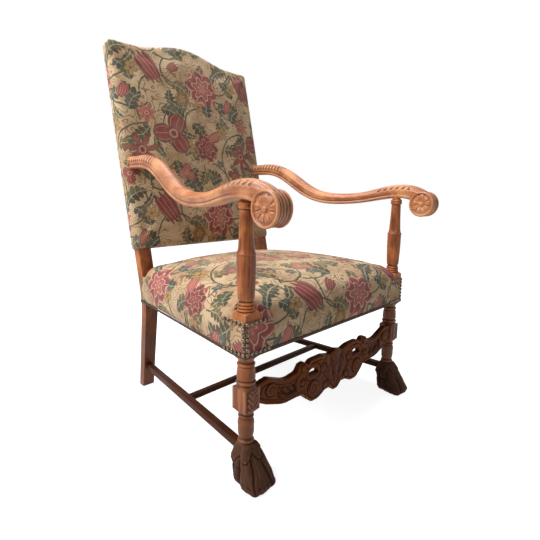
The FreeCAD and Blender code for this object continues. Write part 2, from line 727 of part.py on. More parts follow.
def arm_notch():
    """Room in the back's layers for the left arm's end, level with it and open to the side."""
    points, heights = arm_path()
    wide = 2 * ARM_WIDTH
    high = heights[0] + 6 * NOTCH_GAP
    inner = points[0].x + ARM_WIDTH / 2 + NOTCH_GAP
    low = (points[0].z + points[1].z + NOTCH_GAP - high) / 2
    room = Part.makeBox(wide, 2 * REAR_SPACING, high, Vector(inner - wide, points[1].y, low))
    return room.cut(behind_posts())


def back_upholstery():
    """Webbing, hessian, stuffing, front cover and outside panel of the back."""
    half = STRAP_WIDTH / 2
    hem = 6.0
    top = REAR_POST_TOP + 30
    low = BACK_BOTTOM + BACK_RAIL_LIFT + hem

    def upright(x, y):
        return Part.makeBox(STRAP_WIDTH, STRAP_THICK, top - low, Vector(x - half, y - STRAP_THICK, low))

    def level(z, y):
        return Part.makeBox(REAR_SPACING, STRAP_THICK, STRAP_WIDTH,
                            Vector(-rear_x, y - STRAP_THICK, z - half))

    first = straps(4, -rear_x + 90, rear_x - 90, upright, 0)
    second = straps(3, BACK_BOTTOM + 130, REAR_POST_TOP - 90, level, -STRAP_THICK)
    parts["back_webbing_upright"] = lean_back(Part.makeCompound(first))
    parts["back_webbing_level"] = lean_back(Part.makeCompound(second))
    notch = Part.makeCompound(both_sides([arm_notch()]))
    cloth = -2 * STRAP_THICK
    base = cloth - HESSIAN_THICK
    hessian = slab(crest_outline(-hem, BACK_BOTTOM + hem), in_front(cloth), Vector(0, -HESSIAN_THICK, 0))
    parts["back_hessian"] = lean_back(hessian).cut(notch)
    stuffing = back_pad(0, base, PAD_CROWN - COVER_THICK - SOFT_GAP)
    parts["back_stuffing"] = lean_back(stuffing).cut(notch)
    outer = back_pad(SOFT_GAP + COVER_THICK, REAR_DEPTH, PAD_CROWN)
    inner = back_pad(SOFT_GAP, 2 * REAR_DEPTH, PAD_CROWN - COVER_THICK)
    more = 2 * NOTCH_GAP
    stile = Part.makeBox(REAR_WIDTH + more, REAR_DEPTH + more, 2 * hem,
                         Vector(-outer_rear_x - NOTCH_GAP, -NOTCH_GAP, BACK_BOTTOM - 2 * hem))
    cover = outer.cut(inner).cut(Part.makeCompound(both_sides([stile])))
    parts["back_cover"] = lean_back(cover).cut(notch)
    panel = slab(crest_outline(0, BACK_BOTTOM), in_front(REAR_DEPTH), Vector(0, COVER_THICK, 0))
    parts["back_outside_panel"] = lean_back(panel)


def build_frame():
    """The wooden frame with its tenons, dowels and the mortises and holes that they fill."""
    arm_spans = arm_dowels()
    arm_holes = lean_back(Part.makeCompound(rods(longer(arm_spans), DOWEL_RADIUS + FIT)))
    seat_mortises = Part.makeCompound(seat_tongues(FIT))
    back_mortises = lean_back(back_rail_tongue(FIT))
    housing = side_stretcher(FIT)

    add_pair("front_post", front_post().cut(seat_mortises).cut(stretcher_tenon(FIT)))
    add_pair("paw_foot", paw_foot().cut(housing))
    rear, tongue = rear_post()
    add_pair("rear_post", rear.cut(housing).cut(seat_mortises).cut(back_mortises).cut(arm_holes))
    add_pair("arm", arm().cut(arm_holes))
    parts["front_stretcher"] = front_stretcher()
    add_pair("side_stretcher", side_stretcher(0).cut(cross_stretcher(FIT)))
    parts["cross_stretcher"] = cross_stretcher(0)
    front, left, back = [rail.fuse(tongue) for rail, tongue in zip(seat_rails(), seat_tongues(0))]
    parts["seat_rail_front"] = front
    add_pair("seat_rail", left)
    parts["seat_rail_back"] = back
    near, far = corner_blocks(rear)
    add_pair("corner_block_front", near)
    add_pair("corner_block_rear", far)
    parts["back_crest_rail"] = crest_rail(tongue)
    parts["back_bottom_rail"] = back_bottom_rail()
    leaning = [lean_back(dowel) for dowel in rods(arm_spans, DOWEL_RADIUS)]
    parts["arm_dowels"] = Part.makeCompound(both_sides(leaning))


def write_parts():
    """Put the origin on the floor under the chair's middle and write one file for each piece."""
    os.makedirs("parts", exist_ok=True)
    box = FreeCAD.BoundBox()
    for shape in parts.values():
        box.add(shape.optimalBoundingBox())
    shift = Vector(0, -(box.YMin + box.YMax) / 2, 0)
    for name, shape in parts.items():
        shape.translate(shift)
        shape.exportStep(os.path.join("parts", name + ".step"))
        print(name, len(shape.Solids), shape.isValid(), round(shape.Volume / 1000, 1))


build_frame()
seat_upholstery()
back_upholstery()
write_parts()
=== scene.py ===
import logging
import math
from dataclasses import dataclass, field
from enum import Enum
from typing import Callable

import bmesh
import bpy
from mathutils import Matrix, Vector, kdtree, noise


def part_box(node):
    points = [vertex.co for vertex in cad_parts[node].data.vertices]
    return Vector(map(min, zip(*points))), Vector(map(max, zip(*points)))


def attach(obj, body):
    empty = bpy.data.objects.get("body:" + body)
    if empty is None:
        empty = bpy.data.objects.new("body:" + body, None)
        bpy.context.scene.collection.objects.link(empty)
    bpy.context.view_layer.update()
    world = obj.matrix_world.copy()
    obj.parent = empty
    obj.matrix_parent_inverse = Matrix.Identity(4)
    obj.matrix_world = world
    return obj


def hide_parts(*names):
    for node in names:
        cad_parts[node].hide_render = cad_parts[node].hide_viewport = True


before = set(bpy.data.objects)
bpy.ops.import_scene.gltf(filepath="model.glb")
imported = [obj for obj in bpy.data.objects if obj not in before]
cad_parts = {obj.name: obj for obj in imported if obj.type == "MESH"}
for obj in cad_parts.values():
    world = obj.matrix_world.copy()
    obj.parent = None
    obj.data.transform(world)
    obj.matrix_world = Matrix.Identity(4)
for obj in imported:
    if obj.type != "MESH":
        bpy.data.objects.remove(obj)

LOG = logging.getLogger("throne_chair")
Colour = tuple[float, float, float, float]
Socket = bpy.types.NodeSocket

# The front posts' place, and the leaning back above the knee of the rear posts
POST_LOW, POST_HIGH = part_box("front_post_left")
POST_X = -(POST_LOW.x + POST_HIGH.x) / 2
POST_Y = (POST_LOW.y + POST_HIGH.y) / 2
RECLINE = math.radians(12.53)
KNEE = Vector((0.0, POST_Y + 0.499, 0.295))
SLOPE_UP = Vector((0.0, math.sin(RECLINE), math.cos(RECLINE)))
SLOPE_FRONT = Vector((0.0, -math.cos(RECLINE), math.sin(RECLINE)))

# How the pads are swollen
PUFF_FRAMES = 20
PUFF_PRESSURE = 4.0
CLOTH_MASS = 0.3
CLOTH_QUALITY = 4


class Side(Enum):
    """The two sides of the chair, as signs of X."""

    LEFT = -1
    RIGHT = 1


class Grain(Enum):
    """The way the grain runs, as the turn that brings it upright."""

    ACROSS = (0.0, math.pi / 2, 0.0)
    DEEP = (math.pi / 2, 0.0, 0.0)
    UPRIGHT = (0.0, 0.0, 0.0)


def tint(red: float, green: float, blue: float) -> Colour:
    """Turn a screen colour into the linear colour that a shader takes.

    Args:
        red: Red, from 0 to 255.
        green: Green, from 0 to 255.
        blue: Blue, from 0 to 255.

    Returns:
        The linear colour.
    """
    def line(level: float) -> float:
        """Return one channel on the linear scale."""
        share = level / 255
        return share / 12.92 if share <= 0.04045 else ((share + 0.055) / 1.055) ** 2.4
    return (line(red), line(green), line(blue), 1.0)


def ease(low: float, high: float, value: float) -> float:
    """Return a smooth step from 0 at low to 1 at high."""
    share = min(max((value - low) / (high - low), 0.0), 1.0)
    return share * share * (3 - 2 * share)


def swell(middle: float, reach: float, value: float) -> float:
    """Return a round hump of 1 at middle that ends at reach on both sides."""
    share = abs(value - middle) / reach
    return math.cos(share * math.pi / 2) ** 2 if share < 1 else 0.0


class NodeSheet:
    """A shader node tree with short calls that fill it."""

    def __init__(self, tree: bpy.types.NodeTree) -> None:
        """Keep the tree that is to be filled."""
        self.tree = tree

    def add(self, kind: str, **settings: object) -> bpy.types.Node:
        """Add a node.

        Args:
            kind: The node's type name.
            **settings: Properties of the node.

        Returns:
            The new node.
        """
        node = self.tree.nodes.new(kind)
        for key, value in settings.items():
            setattr(node, key, value)
        return node

    def feed(self, socket: Socket, value: object) -> None:
        """Fill an input.

        Args:
            socket: The input.
            value: A socket to link to it, or a plain value to set on it.
        """
        if isinstance(value, Socket):
            self.tree.links.new(value, socket)
        else:
            socket.default_value = value

    def math(self, operation: str, first: object, second: object = None, third: object = None) -> Socket:
        """Add a Math node.

        Args:
            operation: The node's operation.
            first: First socket or number.
            second: Second socket or number, where the operation has one.
            third: Third socket or number, where the operation has one.

        Returns:
            The result.
        """
        node = self.add("ShaderNodeMath", operation=operation)
        for place, value in enumerate((first, second, third)):
            if value is not None:
                self.feed(node.inputs[place], value)
        return node.outputs[0]

    def vector(self, operation: str, first: object, second: object = None, third: object = None) -> Socket:
        """Add a Vector Math node.

        Args:
            operation: The node's operation.
            first: First socket or vector.
            second: Second socket or vector, or the factor of SCALE.
            third: Third socket or vector, where the operation has one.

        Returns:
            The result, a value for LENGTH and DOT_PRODUCT.
        """
        node = self.add("ShaderNodeVectorMath", operation=operation)
        self.feed(node.inputs[0], first)
        if second is not None:
            self.feed(node.inputs[3] if operation == "SCALE" else node.inputs[1], second)
        if third is not None:
            self.feed(node.inputs[2], third)
        return node.outputs[1] if operation in ("LENGTH", "DOT_PRODUCT") else node.outputs[0]

    def blend(self, share: object, first: object, second: object, mode: str = "MIX") -> Socket:
        """Add a colour Mix node.

        Args:
            share: How much of the second colour shows.
            first: First colour.
            second: Second colour.
            mode: The way the two are mixed.

        Returns:
            The mixed colour.
        """
        node = self.add("ShaderNodeMix", data_type="RGBA", blend_type=mode)
        self.feed(node.inputs[0], share)
        self.feed(node.inputs[6], first)
        self.feed(node.inputs[7], second)
        return node.outputs[2]

    def noise(self, vector: Socket, scale: float, detail: float = 2.0, rough: float = 0.5) -> Socket:
        """Add a Noise Texture.

        Args:
            vector: Where the noise is read.
            scale: Its scale, per metre.
            detail: How many finer layers it has.
            rough: How strong the finer layers are.

        Returns:
            The noise, from 0 to 1.
        """
        node = self.add("ShaderNodeTexNoise")
        self.feed(node.inputs["Vector"], vector)
        self.feed(node.inputs["Scale"], scale)
        self.feed(node.inputs["Detail"], detail)
        self.feed(node.inputs["Roughness"], rough)
        return node.outputs[0]

    def span(self, value: Socket, low: float, high: float, start: float = 0.0, end: float = 1.0) -> Socket:
        """Add a Map Range node with a smooth step.

        Args:
            value: What is mapped.
            low: Value that gives start.
            high: Value that gives end.
            start: Lowest result.
            end: Highest result.

        Returns:
            The mapped value.
        """
        node = self.add("ShaderNodeMapRange", interpolation_type="SMOOTHSTEP")
        for place, number in enumerate((value, low, high, start, end)):
            self.feed(node.inputs[place], number)
        return node.outputs[0]

    def place(self, group: bpy.types.NodeTree, **values: object) -> bpy.types.Node:
        """Add a node group.

        Args:
            group: The group.
            **values: Sockets or plain values for its inputs.

        Returns:
            The group's node.
        """
        node = self.add("ShaderNodeGroup", node_tree=group)
        for label, value in values.items():
            self.feed(node.inputs[label], value)
        return node

    def raise_surface(self, shader: bpy.types.Node, height: Socket, strength: float,
                      distance: float) -> None:
        """Give a shader a bumpy surface.

        Args:
            shader: The shader.
            height: The height of the surface.
            strength: How much of the height counts.
            distance: How far a height of 1 rises, in metres.
        """
        bump = self.add("ShaderNodeBump")
        bump.inputs["Strength"].default_value = strength
        bump.inputs["Distance"].default_value = distance
        self.feed(bump.inputs["Height"], height)
        self.feed(shader.inputs["Normal"], bump.outputs[0])


def fresh_material(name: str) -> tuple[bpy.types.Material, NodeSheet, bpy.types.Node]:
    """Start a material.

    Args:
        name: The material's name.

    Returns:
        The material, its tree and its Principled shader.
    """
    material = bpy.data.materials.new(name)
    material.use_nodes = True
    return material, NodeSheet(material.node_tree), material.node_tree.nodes["Principled BSDF"]


class EffectGroup(NodeSheet):
    """A shader node group with named inputs and outputs."""

    KINDS = {"v": "NodeSocketVector", "f": "NodeSocketFloat", "c": "NodeSocketColor"}

    def __init__(self, name: str, inputs: dict[str, str], outputs: dict[str, str]) -> None:
        """Make the group.

        Args:
            name: The group's name.
            inputs: Input names with v, f or c for vector, value or colour.
            outputs: Output names, in the same way.
        """
        super().__init__(bpy.data.node_groups.new(name, "ShaderNodeTree"))
        for label, kind in inputs.items():
            self.tree.interface.new_socket(name=label, in_out="INPUT", socket_type=self.KINDS[kind])
        for label, kind in outputs.items():
            self.tree.interface.new_socket(name=label, in_out="OUTPUT", socket_type=self.KINDS[kind])
        self.given = self.add("NodeGroupInput").outputs
        self.made = self.add("NodeGroupOutput").inputs


class Effects:
    """The groups that the materials share."""

    TILE = (0.40, 0.46)

    def __init__(self) -> None:
        """Build every group once."""
        self.grain = self._grain()
        self.weave = self._weave()
        self.spot = self._spot()
        self.peony = self._peony()
        self.tulip = self._tulip()
        self.blossom = self._blossom()
        self.leaf = self._leaf()
        self.stem = self._stem()

    def _grain(self) -> bpy.types.NodeTree:
        """Draw wood grain along Z.

        Returns:
            The group, with the figure, the pores and the mottling.
        """
        sheet = EffectGroup("wood_grain", {"Place": "v"}, {"Figure": "f", "Pores": "f", "Mottle": "f"})
        place = sheet.given["Place"]
        drift = sheet.noise(place, 5.0, 2.0)
        long = sheet.vector("MULTIPLY", place, (34.0, 34.0, 2.2))
        figure = sheet.noise(long, 1.0, 4.0, 0.6)
        waves = sheet.math("MULTIPLY_ADD", figure, 34.0, sheet.math("MULTIPLY", drift, 9.0))
        bands = sheet.math("SINE", waves)
        mixed = sheet.math("MULTIPLY_ADD", bands, 0.12, figure)
        sheet.feed(sheet.made["Figure"], sheet.span(mixed, 0.28, 0.74))
        fine = sheet.vector("MULTIPLY", place, (520.0, 520.0, 22.0))
        sheet.feed(sheet.made["Pores"], sheet.span(sheet.noise(fine, 1.0, 1.0), 0.56, 0.72))
        sheet.feed(sheet.made["Mottle"], sheet.noise(place, 14.0, 3.0))
        return sheet.tree

    def _weave(self) -> bpy.types.NodeTree:
        """Cross threads, from the cloth's own coordinates.

        Returns:
            The group, with the threads' height and thickness.
        """
        sheet = EffectGroup("thread_weave", {"Cloth": "v", "Pitch": "f"}, {"Height": "f", "Slub": "f"})
        cloth = sheet.given["Cloth"]
        turns = sheet.math("DIVIDE", 2 * math.pi, sheet.given["Pitch"])
        parts = sheet.add("ShaderNodeSeparateXYZ")
        sheet.feed(parts.inputs[0], cloth)
        warp = sheet.math("SINE", sheet.math("MULTIPLY", parts.outputs[0], turns))
        weft = sheet.math("SINE", sheet.math("MULTIPLY", parts.outputs[1], turns))
        crossed = sheet.math("MULTIPLY", warp, weft)
        sheet.feed(sheet.made["Height"], sheet.math("MULTIPLY_ADD", crossed, 0.5, 0.5))
        streak = sheet.vector("MULTIPLY", cloth, (60.0, 700.0, 1.0))
        sheet.feed(sheet.made["Slub"], sheet.noise(streak, 1.0, 2.0))
        return sheet.tree

    def _spot(self) -> bpy.types.NodeTree:
        """Place a motif on the repeating cloth.

        Returns:
            The group, with the motif's own coordinates.
        """
        sheet = EffectGroup("motif_spot", {"Cloth": "v", "Centre": "v", "Turn": "f", "Size": "f"},
                            {"Across": "f", "Along": "f", "Radius": "f", "Angle": "f"})
        high = (self.TILE[0] / 2, self.TILE[1] / 2, 1.0)
        low = (-high[0], -high[1], -1.0)
        off = sheet.vector("SUBTRACT", sheet.given["Cloth"], sheet.given["Centre"])
        near = sheet.vector("WRAP", off, high, low)
        turned = sheet.add("ShaderNodeVectorRotate", rotation_type="Z_AXIS", invert=True)
        sheet.feed(turned.inputs["Vector"], near)
        sheet.feed(turned.inputs["Angle"], sheet.given["Turn"])
        local = sheet.vector("SCALE", turned.outputs[0], sheet.math("DIVIDE", 1.0, sheet.given["Size"]))
        across = sheet.vector("DOT_PRODUCT", local, (1.0, 0.0, 0.0))
        along = sheet.vector("DOT_PRODUCT", local, (0.0, 1.0, 0.0))
        sheet.feed(sheet.made["Across"], across)
        sheet.feed(sheet.made["Along"], along)
        sheet.feed(sheet.made["Radius"], sheet.vector("LENGTH", local))
        sheet.feed(sheet.made["Angle"], sheet.math("ARCTAN2", along, across))
        return sheet.tree

    def _motif(self, name: str, more: dict[str, str] | None = None) -> tuple[EffectGroup, bpy.types.Node]:
        """Start a motif group.

        Args:
            name: The group's name.
            more: Inputs that only this motif has.

        Returns:
            The group and the node with its own coordinates.
        """
        sheet = EffectGroup(name, {"Cloth": "v", "Centre": "v", "Turn": "f", "Size": "f",
                                   "Deep": "c", "Bright": "c", "Pale": "c", **(more or {})},
                            {"Colour": "c", "Mask": "f"})
        spot = sheet.place(self.spot, Cloth=sheet.given["Cloth"], Centre=sheet.given["Centre"],
                           Turn=sheet.given["Turn"], Size=sheet.given["Size"])
        return sheet, spot

    def _close(self, sheet: EffectGroup, mask: Socket, shade: Socket, lines: Socket) -> bpy.types.NodeTree:
        """Colour a motif.

        Args:
            sheet: The motif's group.
            mask: Where the motif is.
            shade: From deep to bright.
            lines: Where the pale lines run.

        Returns:
            The finished group.
        """
        body = sheet.blend(shade, sheet.given["Deep"], sheet.given["Bright"])
        sheet.feed(sheet.made["Colour"], sheet.blend(lines, body, sheet.given["Pale"]))
        sheet.feed(sheet.made["Mask"], mask)
        return sheet.tree

    def _peony(self) -> bpy.types.NodeTree:
        """Draw a full flower of scalloped rows of petals.

        Returns:
            The group.
        """
        sheet, spot = self._motif("peony_motif")
        radius, angle = spot.outputs["Radius"], spot.outputs["Angle"]
        outer = sheet.math("ABSOLUTE", sheet.math("COSINE", sheet.math("MULTIPLY", angle, 4.5)))
        edge = sheet.math("MULTIPLY_ADD", sheet.math("POWER", outer, 0.6), 0.2, 0.8)
        waves = sheet.math("COSINE", sheet.math("MULTIPLY", angle, 6.0))
        rows = sheet.math("MULTIPLY_ADD", radius, 15.0, sheet.math("MULTIPLY", waves, 1.9))
        lines = sheet.math("GREATER_THAN", sheet.math("SINE", rows), 0.78)
        gaps = sheet.math("MULTIPLY", sheet.math("LESS_THAN", outer, 0.14),
                          sheet.math("GREATER_THAN", radius, 0.55))
        shade = sheet.span(sheet.math("SINE", sheet.math("MULTIPLY", rows, 0.5)), -0.7, 0.7)
        mask = sheet.math("LESS_THAN", radius, edge)
        return self._close(sheet, mask, shade, sheet.math("MAXIMUM", lines, gaps))

    def _tulip(self) -> bpy.types.NodeTree:
        """Draw an oval flower from the side, with stripes that meet at both ends.

        Returns:
            The group.
        """
        sheet, spot = self._motif("tulip_motif")
        along = spot.outputs["Along"]
        half = sheet.math("MULTIPLY_ADD", along, 0.1, 0.54)
        share = sheet.math("DIVIDE", spot.outputs["Across"], half)
        high = sheet.math("MULTIPLY", along, along)
        reach = sheet.math("MULTIPLY_ADD", share, share, high)
        teeth = sheet.math("COSINE", sheet.math("MULTIPLY", share, 13.0))
        teeth = sheet.math("MULTIPLY_ADD", teeth, 0.15, 0.76)
        mask = sheet.math("MULTIPLY", sheet.math("LESS_THAN", reach, 1.0),
                          sheet.math("LESS_THAN", sheet.math("ABSOLUTE", along), teeth))
        bend = sheet.math("SQRT", sheet.math("MAXIMUM", sheet.math("SUBTRACT", 1.0, high), 0.06))
        fan = sheet.math("DIVIDE", share, bend)
        stripe = sheet.math("MULTIPLY_ADD", fan, 7.0, sheet.math("MULTIPLY", along, 1.2))
        lines = sheet.math("LESS_THAN", sheet.math("ABSOLUTE", sheet.math("SINE", stripe)), 0.24)
        return self._close(sheet, mask, sheet.span(reach, 1.0, 0.1), lines)

    def _blossom(self) -> bpy.types.NodeTree:
        """Draw an open flower of oval petals, each with lengthwise veins.

        Returns:
            The group.
        """
        sheet, spot = self._motif("blossom_motif", {"Petals": "f", "Width": "f"})
        radius = spot.outputs["Radius"]
        part = sheet.math("DIVIDE", math.pi, sheet.given["Petals"])
        fold = sheet.math("WRAP", spot.outputs["Angle"], part, sheet.math("MULTIPLY", part, -1.0))
        out = sheet.math("MULTIPLY", radius, sheet.math("COSINE", fold))
        off = sheet.math("MULTIPLY", radius, sheet.math("SINE", fold))
        off = sheet.math("DIVIDE", off, sheet.given["Width"])
        run = sheet.math("DIVIDE", sheet.math("SUBTRACT", out, 0.53), 0.47)
        high = sheet.math("MULTIPLY", run, run)
        reach = sheet.math("MULTIPLY_ADD", off, off, high)
        mask = sheet.math("MAXIMUM", sheet.math("LESS_THAN", reach, 1.0),
                          sheet.math("LESS_THAN", radius, 0.2))
        bend = sheet.math("SQRT", sheet.math("MAXIMUM", sheet.math("SUBTRACT", 1.0, high), 0.06))
        veins = sheet.math("MULTIPLY", sheet.math("DIVIDE", off, bend), 4.6)
        veins = sheet.math("ABSOLUTE", sheet.math("SINE", veins))
        lines = sheet.math("MULTIPLY", sheet.math("LESS_THAN", veins, 0.16),
                           sheet.math("GREATER_THAN", radius, 0.3))
        eye = sheet.math("COMPARE", radius, 0.17, 0.05)
        return self._close(sheet, mask, sheet.span(reach, 1.0, 0.2), sheet.math("MAXIMUM", lines, eye))

    def _leaf(self) -> bpy.types.NodeTree:
        """Draw a lobed leaf along its own X, from 0 to 1, with a pale rib and veins.

        Returns:
            The group.
        """
        sheet, spot = self._motif("leaf_motif", {"Girth": "f", "Lobe": "f"})
        run = spot.outputs["Across"]
        bow = sheet.math("MULTIPLY", sheet.math("SINE", sheet.math("MULTIPLY", run, math.pi)), 0.13)
        away = sheet.math("SUBTRACT", spot.outputs["Along"], bow)
        off = sheet.math("ABSOLUTE", away)
        inside = sheet.math("MULTIPLY", sheet.math("GREATER_THAN", run, 0.0),
                            sheet.math("LESS_THAN", run, 1.0))
        safe = sheet.math("MINIMUM", sheet.math("MAXIMUM", run, 0.0), 1.0)
        belly = sheet.math("SINE", sheet.math("MULTIPLY", sheet.math("POWER", safe, 0.75), math.pi))
        lobes = sheet.math("MULTIPLY_ADD", run, 4.5 * math.pi, sheet.math("MULTIPLY", off, -5.0))
        lobes = sheet.math("ABSOLUTE", sheet.math("SINE", lobes))
        width = sheet.math("MULTIPLY_ADD", lobes, sheet.given["Lobe"], sheet.given["Girth"])
        width = sheet.math("MULTIPLY", belly, width)
        mask = sheet.math("MULTIPLY", sheet.math("LESS_THAN", off, width), inside)
        veins = sheet.math("LESS_THAN", lobes, 0.17)
        short = sheet.math("LESS_THAN", off, sheet.math("MULTIPLY", width, 0.8))
        veins = sheet.math("MULTIPLY", veins, short)
        lines = sheet.math("MAXIMUM", veins, sheet.math("LESS_THAN", off, 0.02))
        return self._close(sheet, mask, sheet.span(away, -0.05, 0.12), lines)

    def _stem(self) -> bpy.types.NodeTree:
        """Draw part of a thin ring, centred on its own X axis.

        Returns:
            The group.
        """
        sheet, spot = self._motif("stem_motif")
        thick = sheet.math("DIVIDE", 0.0026, sheet.given["Size"])
        on = sheet.math("COMPARE", spot.outputs["Radius"], 1.0, thick)
        part = sheet.math("LESS_THAN", sheet.math("ABSOLUTE", spot.outputs["Angle"]), 1.15)
        shade = sheet.span(spot.outputs["Angle"], -0.9, 0.9)
        mask = sheet.math("MULTIPLY", on, part)
        return self._close(sheet, mask, shade, sheet.math("LESS_THAN", shade, -1.0))


@dataclass(frozen=True)
class WoodFinish:
    """Old polished wood, paler where it is rubbed, with painted shade that darkens its hollows, its cuts and
    its lower parts.
    """

    name: str
    dark: Colour
    middle: Colour
    light: Colour
    grain: Grain = Grain.UPRIGHT
    rough: float = 0.42
    gloss: float = 0.2
    # Heights between which the painted shade towards the floor sets in.
    painted_low_shade: tuple[float, float] = (0.4, 0.16)
    # Heights over which the paler wear fades towards the floor, as painted shade.
    low_shade_on_wear: tuple[float, float] = (0.46, 0.14)

    def material(self, effects: Effects) -> bpy.types.Material:
        """Build the material.

        Args:
            effects: The shared groups.

        Returns:
            The material.
        """
        material, sheet, shader = fresh_material(self.name)
        here = sheet.add("ShaderNodeTexCoord").outputs["Object"]
        place = sheet.add("ShaderNodeMapping")
        sheet.feed(place.inputs["Vector"], here)
        place.inputs["Rotation"].default_value = self.grain.value
        grain = sheet.place(effects.grain, Place=place.outputs[0])
        relief = sheet.add("ShaderNodeAttribute", attribute_name="relief").outputs["Fac"]
        body = sheet.blend(grain.outputs["Figure"], self.dark, self.middle)
        patch = sheet.span(grain.outputs["Mottle"], 0.42, 0.7, 0.0, 0.75)
        body = sheet.blend(patch, body, self.light)
        body = sheet.blend(sheet.math("MULTIPLY", grain.outputs["Pores"], 0.4), body, self.dark)
        height = sheet.vector("DOT_PRODUCT", here, (0.0, 0.0, 1.0))
        # Painted shade: the wood darkens towards the floor, where less light falls.
        body = sheet.blend(sheet.span(height, *self.painted_low_shade, 0.0, 0.8), body, self.dark)
        # Proud places are paler from real wear; this fades towards the floor as painted shade.
        rubbed = sheet.math("MULTIPLY", sheet.span(relief, -0.05, -0.35),
                            sheet.span(height, *self.low_shade_on_wear, 0.7, 0.3))
        body = sheet.blend(rubbed, body, self.light)
        # Painted shade: hollows, coves and carved cuts darken to a near-black brown.
        hollow_shade = tuple(0.28 * level for level in self.dark[:3]) + (1.0,)
        body = sheet.blend(sheet.span(relief, 0.03, 0.3, 0.0, 0.85), body, hollow_shade)
        sheet.feed(shader.inputs["Base Color"], body)
        worn = sheet.span(grain.outputs["Mottle"], 0.3, 0.7, self.rough - 0.1, self.rough + 0.14)
        sheet.feed(shader.inputs["Roughness"], worn)
        shader.inputs["Specular IOR Level"].default_value = self.gloss
        ridge = sheet.math("MULTIPLY_ADD", grain.outputs["Pores"], -0.7, grain.outputs["Figure"])
        sheet.raise_surface(shader, ridge, 0.25, 0.0006)
        return material


@dataclass(frozen=True)
class Motif:
    """One drawn motif on the cloth: its place and size in metres, and its turn in radians."""

    kind: str
    u: float
    v: float
    size: float
    turn: float
    hue: str
    more: tuple[tuple[str, float], ...] = ()


